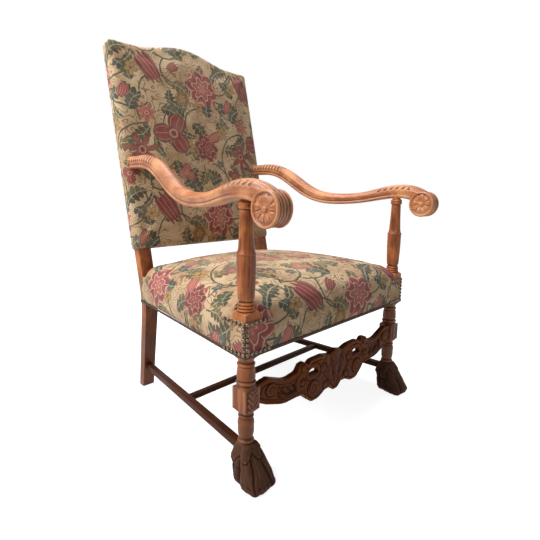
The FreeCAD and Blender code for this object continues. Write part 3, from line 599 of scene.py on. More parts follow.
@dataclass(frozen=True)
class TapestryFinish:
    """Woven floral tapestry on a faded cream ground."""

    name: str = "floral_tapestry"
    ground: Colour = tint(218, 190, 152)
    ground_dull: Colour = tint(188, 154, 118)
    pitch: float = 0.0017
    wander: float = 0.009
    stitch: float = 0.0009

    def hues(self) -> dict[str, tuple[Colour, Colour, Colour]]:
        """List the dyes.

        Returns:
            Each hue's deep, bright and pale colour.
        """
        return {
            "crimson": (tint(90, 24, 38), tint(138, 45, 55), tint(198, 130, 118)),
            "rose": (tint(132, 48, 56), tint(182, 90, 88), tint(216, 166, 146)),
            "green": (tint(32, 48, 42), tint(56, 74, 57), tint(168, 156, 116)),
            "teal": (tint(34, 56, 60), tint(58, 84, 82), tint(174, 166, 132)),
            "olive": (tint(64, 66, 44), tint(98, 94, 60), tint(186, 168, 120)),
            "ochre": (tint(120, 86, 52), tint(182, 146, 92), tint(112, 78, 48)),
        }

    def motifs(self) -> list[Motif]:
        """Lay out the pattern.

        Returns:
            One repeat, back layers first.
        """
        stems = [(0.06, 0.20, 0.095, 0.2), (0.24, 0.30, 0.11, 2.6), (0.21, 0.09, 0.09, 4.2),
                 (0.36, 0.27, 0.085, 5.3), (0.13, 0.42, 0.10, 1.2), (0.31, 0.05, 0.07, 1.9),
                 (0.39, 0.14, 0.06, 3.4), (0.19, 0.21, 0.05, 0.9), (0.28, 0.25, 0.055, 4.9),
                 (0.05, 0.42, 0.06, 2.4), (0.15, 0.16, 0.07, 5.6), (0.38, 0.40, 0.075, 3.0)]
        leaves = [(0.155, 0.165, 0.078, 0.4), (0.175, 0.145, 0.066, -0.9), (0.02, 0.185, 0.08, 1.9),
                  (0.115, 0.235, 0.074, 2.6), (0.235, 0.225, 0.07, 1.2), (0.29, 0.27, 0.078, 2.9),
                  (0.375, 0.215, 0.074, 0.9), (0.36, 0.10, 0.076, -0.6), (0.245, 0.03, 0.078, 2.4),
                  (0.14, 0.03, 0.068, 0.1), (0.02, 0.43, 0.078, -1.0), (0.145, 0.345, 0.074, -0.3),
                  (0.26, 0.40, 0.076, 3.6), (0.20, 0.45, 0.07, 0.9), (0.39, 0.44, 0.068, 2.2),
                  (0.045, 0.265, 0.062, -2.0), (0.33, 0.295, 0.062, -1.4), (0.205, 0.375, 0.064, 4.4),
                  (0.355, 0.02, 0.06, 1.7), (0.10, 0.19, 0.055, 4.0), (0.265, 0.10, 0.05, 0.2),
                  (0.09, 0.455, 0.08, 1.3), (0.305, 0.005, 0.07, -0.4), (0.005, 0.30, 0.074, 0.7),
                  (0.01, 0.02, 0.07, 2.9), (0.0, 0.245, 0.062, 3.7), (0.22, 0.085, 0.064, 1.6),
                  (0.135, 0.45, 0.066, -1.6), (0.065, 0.22, 0.06, 0.3)]
        lances = [(0.30, 0.30, 0.085, 1.9), (0.13, 0.12, 0.08, 0.9), (0.03, 0.38, 0.08, 2.8),
                  (0.24, 0.19, 0.075, 3.9), (0.37, 0.31, 0.07, 0.4), (0.16, 0.29, 0.075, 5.4),
                  (0.33, 0.09, 0.07, 2.2), (0.18, 0.42, 0.075, 2.0), (0.02, 0.12, 0.07, 4.6),
                  (0.27, 0.36, 0.07, 0.5)]
        greens = ("green", "teal", "green", "olive")
        broad, narrow = (("Girth", 0.18), ("Lobe", 0.16)), (("Girth", 0.12), ("Lobe", 0.03))
        three, five = (("Petals", 3.0), ("Width", 0.46)), (("Petals", 5.0), ("Width", 0.34))
        six, lily = (("Petals", 6.0), ("Width", 0.3)), (("Petals", 7.0), ("Width", 0.16))
        drawn = [Motif("stem", u, v, size, turn, "green") for u, v, size, turn in stems]
        drawn += [Motif("leaf", u, v, size, turn, greens[place % 3], narrow)
                  for place, (u, v, size, turn) in enumerate(lances)]
        drawn += [Motif("leaf", u, v, size, turn, greens[place % 4], broad)
                  for place, (u, v, size, turn) in enumerate(leaves)]
        drawn += [
            Motif("blossom", 0.145, 0.405, 0.026, 0.3, "ochre", six),
            Motif("blossom", 0.225, 0.125, 0.024, 0.9, "ochre", five),
            Motif("blossom", 0.395, 0.345, 0.025, 0.1, "ochre", six),
            Motif("blossom", 0.055, 0.03, 0.024, 0.6, "ochre", five),
            Motif("blossom", 0.31, 0.235, 0.017, 0.5, "teal", five),
            Motif("blossom", 0.115, 0.29, 0.016, 0.8, "teal", five),
            Motif("blossom", 0.255, 0.26, 0.02, 0.2, "ochre", five),
            Motif("peony", 0.395, 0.05, 0.028, 0.4, "ochre"),
            Motif("tulip", 0.19, 0.05, 0.03, -0.5, "rose"),
            Motif("blossom", 0.175, 0.25, 0.03, 0.6, "crimson", three),
            Motif("tulip", 0.375, 0.155, 0.03, -0.9, "crimson"),
            Motif("blossom", 0.255, 0.445, 0.034, 0.2, "rose", lily),
            Motif("peony", 0.085, 0.10, 0.066, 0.3, "rose"),
            Motif("tulip", 0.285, 0.14, 0.064, 0.5, "crimson"),
            Motif("blossom", 0.225, 0.325, 0.058, 0.2, "crimson", lily),
            Motif("blossom", 0.34, 0.385, 0.072, 1.1, "crimson", three),
            Motif("peony", 0.065, 0.345, 0.05, 1.4, "crimson"),
            Motif("tulip", 0.105, 0.385, 0.034, -1.1, "rose"),
            Motif("blossom", 0.37, 0.255, 0.034, 1.4, "rose", three),
        ]
        return drawn

    def material(self, effects: Effects) -> bpy.types.Material:
        """Build the material.

        Args:
            effects: The shared groups.

        Returns:
            The material.
        """
        material, sheet, shader = fresh_material(self.name)
        cloth = sheet.add("ShaderNodeAttribute", attribute_name="cloth").outputs["Vector"]
        wander = sheet.add("ShaderNodeTexNoise")
        sheet.feed(wander.inputs["Vector"], cloth)
        wander.inputs["Scale"].default_value = 34.0
        wander.inputs["Detail"].default_value = 3.0
        shift = sheet.vector("SUBTRACT", wander.outputs["Color"], (0.5, 0.5, 0.5))
        shift = sheet.vector("MULTIPLY", shift, (self.wander, self.wander, 0.0))
        drawn = sheet.vector("SNAP", sheet.vector("ADD", cloth, shift), (self.stitch, self.stitch, 1.0))
        weave = sheet.place(effects.weave, Cloth=cloth, Pitch=self.pitch)
        patches = sheet.noise(cloth, 9.0, 3.0)
        ground = sheet.blend(sheet.span(patches, 0.35, 0.68), self.ground, self.ground_dull)
        hues = self.hues()
        sketch = sheet.math("FRACT", sheet.math("MULTIPLY", sheet.noise(drawn, 22.0, 1.0), 9.0))
        sketch = sheet.math("MULTIPLY", sheet.math("COMPARE", sketch, 0.5, 0.13),
                            sheet.span(sheet.noise(cloth, 13.0, 1.0), 0.36, 0.52, 0.0, 0.85))
        picture = sheet.blend(sketch, ground, hues["ochre"][0])
        groups = {"peony": effects.peony, "tulip": effects.tulip, "blossom": effects.blossom,
                  "leaf": effects.leaf, "stem": effects.stem}
        for motif in self.motifs():
            deep, bright, pale = hues[motif.hue]
            node = sheet.place(groups[motif.kind], Cloth=drawn, Centre=(motif.u, motif.v, 0.0),
                               Turn=motif.turn, Size=motif.size, Deep=deep, Bright=bright, Pale=pale)
            for label, value in motif.more:
                node.inputs[label].default_value = value
            picture = sheet.blend(node.outputs["Mask"], picture, node.outputs["Colour"])
        worn = sheet.add("ShaderNodeAttribute", attribute_name="worn").outputs["Fac"]
        rubbed = sheet.math("MULTIPLY", sheet.span(sheet.noise(cloth, 26.0, 4.0, 0.6), 0.3, 0.75), worn)
        picture = sheet.blend(sheet.math("ADD", rubbed, 0.1), picture, ground)
        slub = sheet.span(weave.outputs["Slub"], 0.25, 0.75, 0.86, 1.1)
        picture = sheet.blend(1.0, picture, slub, "MULTIPLY")
        # Painted shade: the low parts of the weave are darkened.
        threads = sheet.span(weave.outputs["Height"], 0.0, 0.6, 0.88, 1.0)
        sheet.feed(shader.inputs["Base Color"], sheet.blend(1.0, picture, threads, "MULTIPLY"))
        sheet.feed(shader.inputs["Roughness"], sheet.span(weave.outputs["Slub"], 0.2, 0.8, 0.8, 0.95))
        shader.inputs["Sheen Weight"].default_value = 0.12
        shader.inputs["Sheen Roughness"].default_value = 0.5
        shader.inputs["Specular IOR Level"].default_value = 0.25
        threads = sheet.math("ADD", weave.outputs["Height"], weave.outputs["Slub"])
        sheet.raise_surface(shader, threads, 0.5, 0.0005)
        return material


@dataclass(frozen=True)
class PlainClothFinish:
    """A plain woven cloth for the lining, the webbing, the hessian and the braid."""

    name: str
    thread: Colour
    # Dark colour of the painted shade in the weave, also used for the dusty patches.
    shadow: Colour
    pitch: float = 0.0014

    def material(self, effects: Effects) -> bpy.types.Material:
        """Build the material.

        Args:
            effects: The shared groups.

        Returns:
            The material.
        """
        material, sheet, shader = fresh_material(self.name)
        place = sheet.add("ShaderNodeTexCoord").outputs["Object"]
        weave = sheet.place(effects.weave, Cloth=place, Pitch=self.pitch)
        # Painted shade: the low parts of the weave take the shadow colour.
        body = sheet.blend(sheet.span(weave.outputs["Height"], 0.1, 0.8), self.shadow, self.thread)
        # Dusty patches take the same dark colour.
        dusty = sheet.span(sheet.noise(place, 12.0, 3.0), 0.35, 0.7, 0.0, 0.5)
        sheet.feed(shader.inputs["Base Color"], sheet.blend(dusty, body, self.shadow))
        sheet.feed(shader.inputs["Roughness"], sheet.span(weave.outputs["Slub"], 0.2, 0.8, 0.78, 0.95))
        sheet.raise_surface(shader, weave.outputs["Height"], 0.6, 0.0004)
        return material


@dataclass(frozen=True)
class BrassFinish:
    """Antique brass, mottled brown and bright by a fine random stain."""

    name: str = "antique_brass"
    bright: Colour = tint(136, 116, 96)
    brown: Colour = tint(50, 37, 28)

    def material(self, effects: Effects) -> bpy.types.Material:
        """Build the material.

        Args:
            effects: The shared groups.

        Returns:
            The material.
        """
        material, sheet, shader = fresh_material(self.name)
        place = sheet.add("ShaderNodeTexCoord").outputs["Object"]
        stain = sheet.noise(place, 240.0, 3.0, 0.6)
        body = sheet.blend(sheet.span(stain, 0.3, 0.7), self.brown, self.bright)
        sheet.feed(shader.inputs["Base Color"], body)
        sheet.feed(shader.inputs["Roughness"], sheet.span(stain, 0.3, 0.7, 0.5, 0.28))
        shader.inputs["Metallic"].default_value = 0.9
        return material


@dataclass
class Finishes:
    """Every finish of the chair, as materials."""

    effects: Effects
    made: dict[str, bpy.types.Material] = field(default_factory=dict)

    def build(self) -> None:
        """Make every material."""
        woods = [
            WoodFinish("turned_wood", tint(86, 41, 18), tint(168, 92, 44), tint(206, 126, 72),
                       Grain.UPRIGHT, 0.4, 0.3),
            WoodFinish("arm_wood", tint(150, 84, 46), tint(188, 116, 70), tint(220, 158, 110),
                       Grain.DEEP, 0.36, 0.4),
            WoodFinish("carved_stretcher_wood", tint(88, 43, 18), tint(144, 78, 38), tint(178, 104, 52),
                       Grain.ACROSS, 0.5, 0.06),
            WoodFinish("stretcher_wood", tint(66, 34, 20), tint(112, 64, 38), tint(150, 94, 60),
                       Grain.DEEP, 0.5, 0.06),
            WoodFinish("paw_wood", tint(74, 46, 32), tint(116, 78, 58), tint(156, 120, 96),
                       Grain.UPRIGHT, 0.55, 0.06),
            WoodFinish("cross_wood", tint(60, 32, 20), tint(98, 56, 34), tint(132, 82, 50),
                       Grain.ACROSS, 0.5, 0.06),
            WoodFinish("inner_wood", tint(140, 104, 66), tint(184, 146, 100), tint(206, 172, 126),
                       Grain.ACROSS, 0.7, 0.0),
        ]
        cloths = [
            PlainClothFinish("lining", tint(58, 52, 46), tint(34, 30, 27)),
            PlainClothFinish("hessian", tint(176, 146, 104), tint(112, 86, 56), 0.0026),
            PlainClothFinish("webbing", tint(150, 118, 78), tint(88, 64, 40), 0.0022),
            PlainClothFinish("braid", tint(84, 62, 46), tint(46, 32, 24), 0.003),
        ]
        for finish in [*woods, *cloths]:
            self.made[finish.name] = finish.material(self.effects)
        self.made["tapestry"] = TapestryFinish().material(self.effects)
        self.made["brass"] = BrassFinish().material(self.effects)

    def dress(self, material: str, *nodes: str) -> None:
        """Give CAD nodes a material.

        Args:
            material: The material's name.
            *nodes: The nodes' names.
        """
        for name in nodes:
            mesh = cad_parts[name].data
            mesh.materials.clear()
            mesh.materials.append(self.made[material])


def node_copy(*names: str) -> bmesh.types.BMesh:
    """Copy CAD nodes into one merged mesh.

    Args:
        *names: The nodes' names.

    Returns:
        The copy.
    """
    shape = bmesh.new()
    for name in names:
        shape.from_mesh(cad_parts[name].data)
    bmesh.ops.remove_doubles(shape, verts=shape.verts, dist=1e-5)
    return shape


def loose_object(shape: bmesh.types.BMesh) -> bpy.types.Object:
    """Put a mesh in a working object.

    Args:
        shape: The mesh, which is used up.

    Returns:
        The object.
    """
    mesh = bpy.data.meshes.new("blank")
    shape.to_mesh(mesh)
    shape.free()
    blank = bpy.data.objects.new("blank", mesh)
    bpy.context.scene.collection.objects.link(blank)
    return blank


def taken(blank: bpy.types.Object) -> bmesh.types.BMesh:
    """Take a working object's mesh with its modifiers applied.

    Args:
        blank: The object, which is removed.

    Returns:
        The mesh.
    """
    depsgraph = bpy.context.evaluated_depsgraph_get()
    mesh = bpy.data.meshes.new_from_object(blank.evaluated_get(depsgraph))
    shape = bmesh.new()
    shape.from_mesh(mesh)
    old = blank.data
    bpy.data.objects.remove(blank)
    bpy.data.meshes.remove(old)
    bpy.data.meshes.remove(mesh)
    return shape


def remeshed(shape: bmesh.types.BMesh, voxel: float) -> bmesh.types.BMesh:
    """Turn a closed mesh into even small faces.

    Args:
        shape: The mesh, which is used up.
        voxel: Size of the faces.

    Returns:
        The new mesh.
    """
    blank = loose_object(shape)
    cut = blank.modifiers.new("even", "REMESH")
    cut.mode = "VOXEL"
    cut.voxel_size = voxel
    return taken(blank)


def smoothed(shape: bmesh.types.BMesh, rounds: int) -> None:
    """Smooth a mesh.

    Args:
        shape: The mesh.
        rounds: How often.
    """
    for _ in range(rounds):
        bmesh.ops.smooth_vert(shape, verts=shape.verts, factor=0.5, use_axis_x=True, use_axis_y=True,
                              use_axis_z=True)
    shape.verts.index_update()


def backed(shape: bmesh.types.BMesh, axis: int, level: float) -> None:
    """Close a carved face with walls down to a flat back.

    Args:
        shape: The open mesh.
        axis: The axis that the back lies across.
        level: Where the back lies on it.
    """
    rim = [edge for edge in shape.edges if edge.is_boundary]
    made = bmesh.ops.extrude_edge_only(shape, edges=rim)["geom"]
    for vert in (item for item in made if isinstance(item, bmesh.types.BMVert)):
        vert.co[axis] = level
    bmesh.ops.contextual_create(shape, geom=[edge for edge in shape.edges if edge.is_boundary])


def walled(shape: bmesh.types.BMesh, thickness: float) -> None:
    """Give a sheet its thickness.

    Args:
        shape: The sheet.
        thickness: The thickness, below 0 on the outer side.
    """
    bmesh.ops.recalc_face_normals(shape, faces=shape.faces)
    bmesh.ops.solidify(shape, geom=shape.faces[:], thickness=thickness)
    bmesh.ops.recalc_face_normals(shape, faces=shape.faces)


def mark_relief(shape: bmesh.types.BMesh, cuts: dict[int, float] | None = None, rounds: int = 2) -> None:
    """Store how hollow (above 0) or proud (below 0) each vertex lies, for the finish's painted shade in
    hollows and its wear on proud places.

    Args:
        shape: The mesh.
        cuts: Painted shade in the carving, how much darker a carved vertex is, by its number.
        rounds: How often the values are spread to their neighbours.
    """
    shape.normal_update()
    layer = shape.verts.layers.float.new("relief")
    shape.verts.ensure_lookup_table()
    for vert in shape.verts:
        around = [edge.other_vert(vert).co for edge in vert.link_edges]
        if around:
            middle = sum(around, Vector()) / len(around)
            length = sum((spot - vert.co).length for spot in around) / len(around)
            vert[layer] = 2.5 * (middle - vert.co).dot(vert.normal) / max(length, 1e-6)
    for _ in range(rounds):
        spread = [sum((edge.other_vert(vert)[layer] for edge in vert.link_edges), vert[layer] * 2)
                  / (len(vert.link_edges) + 2) for vert in shape.verts]
        for vert, value in zip(shape.verts, spread):
            vert[layer] = value
    for place, value in (cuts or {}).items():
        shape.verts[place][layer] += value


def finished(name: str, shape: bmesh.types.BMesh, material: bpy.types.Material, slot: str,
             *nodes: str, crisp: float = 180.0) -> bpy.types.Object:
    """Make a piece of the chair from a mesh.

    Args:
        name: The piece's name.
        shape: Its mesh, which is used up.
        material: Its material.
        slot: Not used.
        *nodes: CAD nodes that it stands for.
        crisp: Edges sharper than this many degrees stay sharp.

    Returns:
        The piece.
    """
    mesh = bpy.data.meshes.new(name)
    for face in shape.faces:
        face.smooth = True
    shape.to_mesh(mesh)
    shape.free()
    mesh.materials.append(material)
    if crisp < 180:
        mesh.set_sharp_from_angle(angle=math.radians(crisp))
    piece = bpy.data.objects.new(name, mesh)
    bpy.context.scene.collection.objects.link(piece)
    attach(piece, "root")
    if nodes:
        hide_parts(*nodes)
    LOG.info("%s: %d faces", name, len(mesh.polygons))
    return piece


def spun(points: list[tuple[float, float]], steps: int) -> bmesh.types.BMesh:
    """Spin a line about Z.

    Args:
        points: Radius and height of each point, in metres.
        steps: Steps round the axis.

    Returns:
        The spun mesh.
    """
    shape = bmesh.new()
    verts = [shape.verts.new((radius, 0.0, height)) for radius, height in points]
    edges = [shape.edges.new(pair) for pair in zip(verts, verts[1:])]
    bmesh.ops.spin(shape, geom=verts + edges, cent=(0, 0, 0), axis=(0, 0, 1), angle=2 * math.pi,
                   steps=steps, use_merge=True)
    bmesh.ops.remove_doubles(shape, verts=shape.verts, dist=1e-6)
    return shape


def turned(profile: list[tuple[float, float, float]], steps: int) -> bmesh.types.BMesh:
    """Turn a profile about Z.

    Args:
        profile: Radius and height in millimetres, and the bulge of the line that leads there.
        steps: Steps round the axis.

    Returns:
        The turned mesh.
    """
    points: list[tuple[float, float]] = [profile[0][:2]]
    for radius, height, bulge in profile[1:]:
        start_r, start_z = points[-1]
        parts = 8 if bulge else 1
        for part in range(1, parts + 1):
            share = part / parts
            lift = 4 * bulge * share * (1 - share)
            points.append((start_r + (radius - start_r) * share + lift * (height - start_z),
                           start_z + (height - start_z) * share - lift * (radius - start_r)))
    shape = spun([(max(radius, 0.0) / 1000, height / 1000) for radius, height in points], steps)
    bmesh.ops.recalc_face_normals(shape, faces=shape.faces)
    return shape


def softened(name: str, width: float) -> bmesh.types.BMesh:
    """Copy a straight CAD node and round its edges.

    Args:
        name: The node's name.
        width: Width of the rounding.

    Returns:
        The copy.
    """
    shape = node_copy(name)
    bmesh.ops.dissolve_limit(shape, angle_limit=math.radians(2), verts=shape.verts, edges=shape.edges)
    sharp = [edge for edge in shape.edges if len(edge.link_faces) == 2 and edge.calc_face_angle() > 0.6]
    bmesh.ops.bevel(shape, geom=sharp, offset=width, offset_type="OFFSET", affect="EDGES", segments=3,
                    profile=0.5, material=-1, clamp_overlap=True)
    return shape


@dataclass
class FrontPost:
    """A turned front post with two square blocks."""

    side: Side
    half_block: float = 0.021
    steps: int = 64
    cloth_low: float = 0.299
    cloth_high: float = 0.3705
    cloth_room: float = 0.0015
    leaf_half: float = 0.0185
    leaf_middle: float = 0.1945
    leaf_height: float = 0.05
    leaf_rise: float = 0.0032
    profile: list[tuple[float, float, float]] = field(default_factory=lambda: [
        (0.0, 60.0, 0.0), (11.5, 60.0, 0.0), (11.5, 91.0, 0.0), (15.2, 91.5, 0.0), (15.2, 99.5, 0.4),
        (14.0, 100.5, 0.0), (15.4, 102.5, 0.0), (17.7, 130.0, 0.05), (15.4, 149.0, 0.1), (14.6, 150.5, 0.0),
        (15.8, 151.0, 0.0), (15.8, 156.0, 0.4), (15.2, 157.0, 0.0), (30.6, 169.0, -0.2), (30.6, 220.0, 0.0),
        (18.6, 226.5, -0.2), (19.2, 227.0, 0.0), (19.2, 235.0, 0.38), (18.0, 235.6, 0.0), (18.6, 237.0, 0.0),
        (20.4, 246.0, 0.12), (18.6, 265.0, 0.02), (17.0, 267.5, 0.1), (17.0, 268.5, 0.0), (17.6, 269.0, 0.0),
        (17.6, 275.5, 0.42), (16.4, 276.5, 0.0), (30.6, 291.0, -0.2), (30.6, 381.0, 0.0), (17.4, 388.0, 0.2),
        (16.8, 388.5, 0.0), (16.8, 395.0, 0.42), (15.4, 395.3, 0.0), (16.4, 395.8, 0.0), (16.4, 402.0, 0.42),
        (15.0, 402.3, 0.0), (16.0, 402.8, 0.0), (16.0, 408.6, 0.42), (14.8, 409.4, 0.0), (15.0, 411.0, 0.0),
        (18.0, 419.0, 0.12), (20.3, 504.0, 0.008), (19.6, 506.0, 0.1), (20.9, 508.5, 0.2),
        (20.5, 511.0, 0.2), (16.6, 527.0, -0.06), (13.6, 597.0, -0.006), (12.6, 599.0, 0.0),
        (15.8, 607.5, 0.24), (12.4, 616.0, 0.24), (12.4, 617.0, 0.0), (10.0, 624.0, 0.0),
        (10.0, 637.0, 0.0), (0.0, 637.0, 0.0)])

    def build(self, finishes: Finishes) -> None:
        """Turn the post, square its blocks and carve the low one.

        Args:
            finishes: The chair's finishes.
        """
        label = self.side.name.lower()
        shape = turned(self.profile, self.steps)
        for vert in shape.verts:
            hidden = self.cloth_low < vert.co.z < self.cloth_high
            half = self.half_block - (self.cloth_room if hidden else 0.0)
            vert.co.x = min(max(vert.co.x, -half), half)
            vert.co.y = min(max(vert.co.y, -half), half)
        mark_relief(shape)
        bmesh.ops.translate(shape, verts=shape.verts, vec=(self.side.value * POST_X, POST_Y, 0.0))
        finished(f"front_post_{label}_turned", shape, finishes.made["turned_wood"], "carved_wood",
                 f"front_post_{label}", crisp=32)
        self._foliage(label, finishes)

    def _foliage(self, label: str, finishes: Finishes) -> None:
        """Carve the leaf on the low block's front face.

        Args:
            label: The side's name.
            finishes: The chair's finishes.
        """
        shape = bmesh.new()
        bmesh.ops.create_grid(shape, x_segments=44, y_segments=56, size=0.5)
        shape.verts.index_update()
        cuts: dict[int, float] = {}
        for vert in shape.verts:
            across, up = vert.co.x * 2, vert.co.y
            edge = min(1 - abs(across), 1 - abs(2 * up))
            vein = abs(math.sin(math.pi * (3.6 * up - 1.5 * abs(across) + 0.2)))
            outline = 0.66 + 0.24 * vein - 0.5 * max(0.0, up) - abs(across)
            leaf = ease(0.0, 0.1, outline) * (0.25 + 0.75 * vein ** 0.6)
            leaf = max(leaf, swell(0.0, 0.14, across)) * ease(0.0, 0.16, edge)
            # Painted shade: the sunk ground round the leaf is darkened.
            cuts[vert.index] = 0.3 * (1 - leaf)
            vert.co = Vector((across * self.leaf_half, -self.half_block - 0.0002 - self.leaf_rise * leaf,
                              self.leaf_middle + up * self.leaf_height))
        backed(shape, 1, -self.half_block + 0.001)
        bmesh.ops.recalc_face_normals(shape, faces=shape.faces)
        mark_relief(shape, cuts)
        bmesh.ops.translate(shape, verts=shape.verts, vec=(self.side.value * POST_X, POST_Y, 0.0))
        finished(f"block_foliage_{label}", shape, finishes.made["turned_wood"], "carved_wood")


@dataclass
class ArmRest:
    """A moulded arm with a ridged roll and a rosette on both faces."""

    side: Side
    voxel: float = 0.0017
    middle: float = 0.320
    roll_middle: tuple[float, float] = (-0.081, 0.603)
    roll_half: float = 0.021
    rosette: float = 0.0305
    rosette_sunk: float = 0.0035
    rings: int = 20
    steps: int = 96
    petals: int = 9
    petal_rise: float = 0.0034
    button_rise: float = 0.0042
    ridge_depth: float = 0.0018
    scoop_depth: float = 0.0038
    scoop_pitch: float = 0.019
    scoops: tuple[float, float] = (-0.046, 0.068)
    flute_depth: float = 0.0034
    flute_pitch: float = 0.0145
    flutes_from: float = 0.425
    line_depth: float = 0.0008
    field_depth: float = 0.0032
    slices: int = 250

    def build(self, finishes: Finishes) -> None:
        """Carve the arm and set its rosettes.

        Args:
            finishes: The chair's finishes.
        """
        label = self.side.name.lower()
        shape = remeshed(node_copy(f"arm_{label}"), self.voxel)
        smoothed(shape, 1)
        mark_relief(shape, self._carve(shape))
        finished(f"arm_{label}_carved", shape, finishes.made["arm_wood"], "carved_wood", f"arm_{label}")
        for face in Side:
            self._rosette(f"rosette_{label}_{'inner' if face != self.side else 'outer'}", face, finishes)

    def _carve(self, shape: bmesh.types.BMesh) -> dict[int, float]:
        """Cut the ridges round the roll, the scoops behind it and the flutes at the rear end.

        Args:
            shape: The arm's even mesh.

        Returns:
            Painted shade: how much darker each cut vertex is.
        """
        shape.normal_update()
        ranges: dict[int, list[float]] = {}
        for vert in shape.verts:
            slot = ranges.setdefault(int(vert.co.y * self.slices), [9.0, -9.0, 9.0, -9.0])
            slot[0], slot[1] = min(slot[0], vert.co.x), max(slot[1], vert.co.x)
            slot[2], slot[3] = min(slot[2], vert.co.z), max(slot[3], vert.co.z)
        cuts: dict[int, float] = {}
        moves: list[tuple[bmesh.types.BMVert, Vector]] = []
        for vert in shape.verts:
            low_x, high_x, low_z, high_z = ranges[int(vert.co.y * self.slices)]
            across = (2 * vert.co.x - low_x - high_x) / max(high_x - low_x, 1e-4)
            along = vert.co.y - POST_Y
            up = max(vert.normal.z, 0.0)
            roll = Vector((along - self.roll_middle[0], vert.co.z - self.roll_middle[1]))
            on_roll = ease(0.028, 0.033, roll.length) if along < -0.02 else up
            valley = swell(0.5, 0.3, (across * 2.5) % 1.0) * ease(0.98, 0.8, abs(across))
            ridge = valley * ease(0.03, -0.03, along) * on_roll * (1 - abs(vert.normal.x))
            level = (vert.co.z - low_z) / max(high_z - low_z, 1e-4)
            drop = high_z - vert.co.z
            edge = ease(0.3, 0.5, abs(across)) * swell(0.010, 0.009, drop)
            slant = along - 0.5 * drop
            scoop = swell(0.5, 0.42, slant / self.scoop_pitch % 1.0) * edge
            scoop *= ease(self.scoops[0], self.scoops[0] + 0.006, along)
            scoop *= ease(self.scoops[1], self.scoops[1] - 0.006, along)
            flute = swell(0.5, 0.4, along / self.flute_pitch % 1.0)
            flute *= ease(self.flutes_from, self.flutes_from + 0.01, along)
            flute *= ease(0.3, 0.5, abs(across)) * ease(0.4, 0.6, level)
            line = swell(0.3, 0.09, level) * ease(0.5, 0.8, abs(vert.normal.x)) * ease(0.0, 0.03, along)
            bed = ease(0.0315, 0.0305, roll.length) * ease(0.024, 0.027, roll.length)
            bed *= ease(0.85, 0.92, abs(across))
            depth = self.ridge_depth * ridge + self.scoop_depth * scoop
            depth += self.flute_depth * flute + self.line_depth * line
            sunk = Vector((math.copysign(self.field_depth * bed, across), 0.0, 0.0))
            moves.append((vert, vert.normal * -depth - sunk))
            # Painted shade in the ridges, scoops, flutes and line.
            cuts[vert.index] = 0.22 * ridge + 0.34 * scoop + 0.3 * flute + 0.1 * line
        for vert, move in moves:
            vert.co += move
        return cuts

    def _rosette(self, name: str, face: Side, finishes: Finishes) -> None:
        """Carve one rosette.

        Args:
            name: The piece's name.
            face: The way it looks.
            finishes: The chair's finishes.
        """
        shape = spun([(self.rosette * step / self.rings, 0.0) for step in range(self.rings + 1)], self.steps)
        for vert in shape.verts:
            reach = vert.co.to_2d().length / self.rosette
            angle = math.atan2(vert.co.y, vert.co.x)
            petal = abs(math.cos(angle * self.petals / 2))
            bowl = swell(0.62, 0.42, reach) * ease(0.0, 0.5, petal)
            tip = ease(0.0, 0.08, 0.72 + 0.26 * petal ** 0.5 - reach)
            button = math.sqrt(max(0.0, 1 - (reach / 0.24) ** 2))
            rise = self.petal_rise * bowl * tip + self.button_rise * button
            vert.co.z = rise - 0.0008 * swell(0.27, 0.05, reach)
        backed(shape, 2, -0.0015)
        turn = Matrix.Rotation(math.pi / 2 * face.value, 4, "Y")
        middle = Vector((self.side.value * self.middle + face.value * (self.roll_half - self.rosette_sunk),
                         POST_Y + self.roll_middle[0], self.roll_middle[1]))
        bmesh.ops.transform(shape, matrix=Matrix.Translation(middle) @ turn, verts=shape.verts)
        bmesh.ops.recalc_face_normals(shape, faces=shape.faces)
        mark_relief(shape)
        finished(name, shape, finishes.made["arm_wood"], "carved_wood")


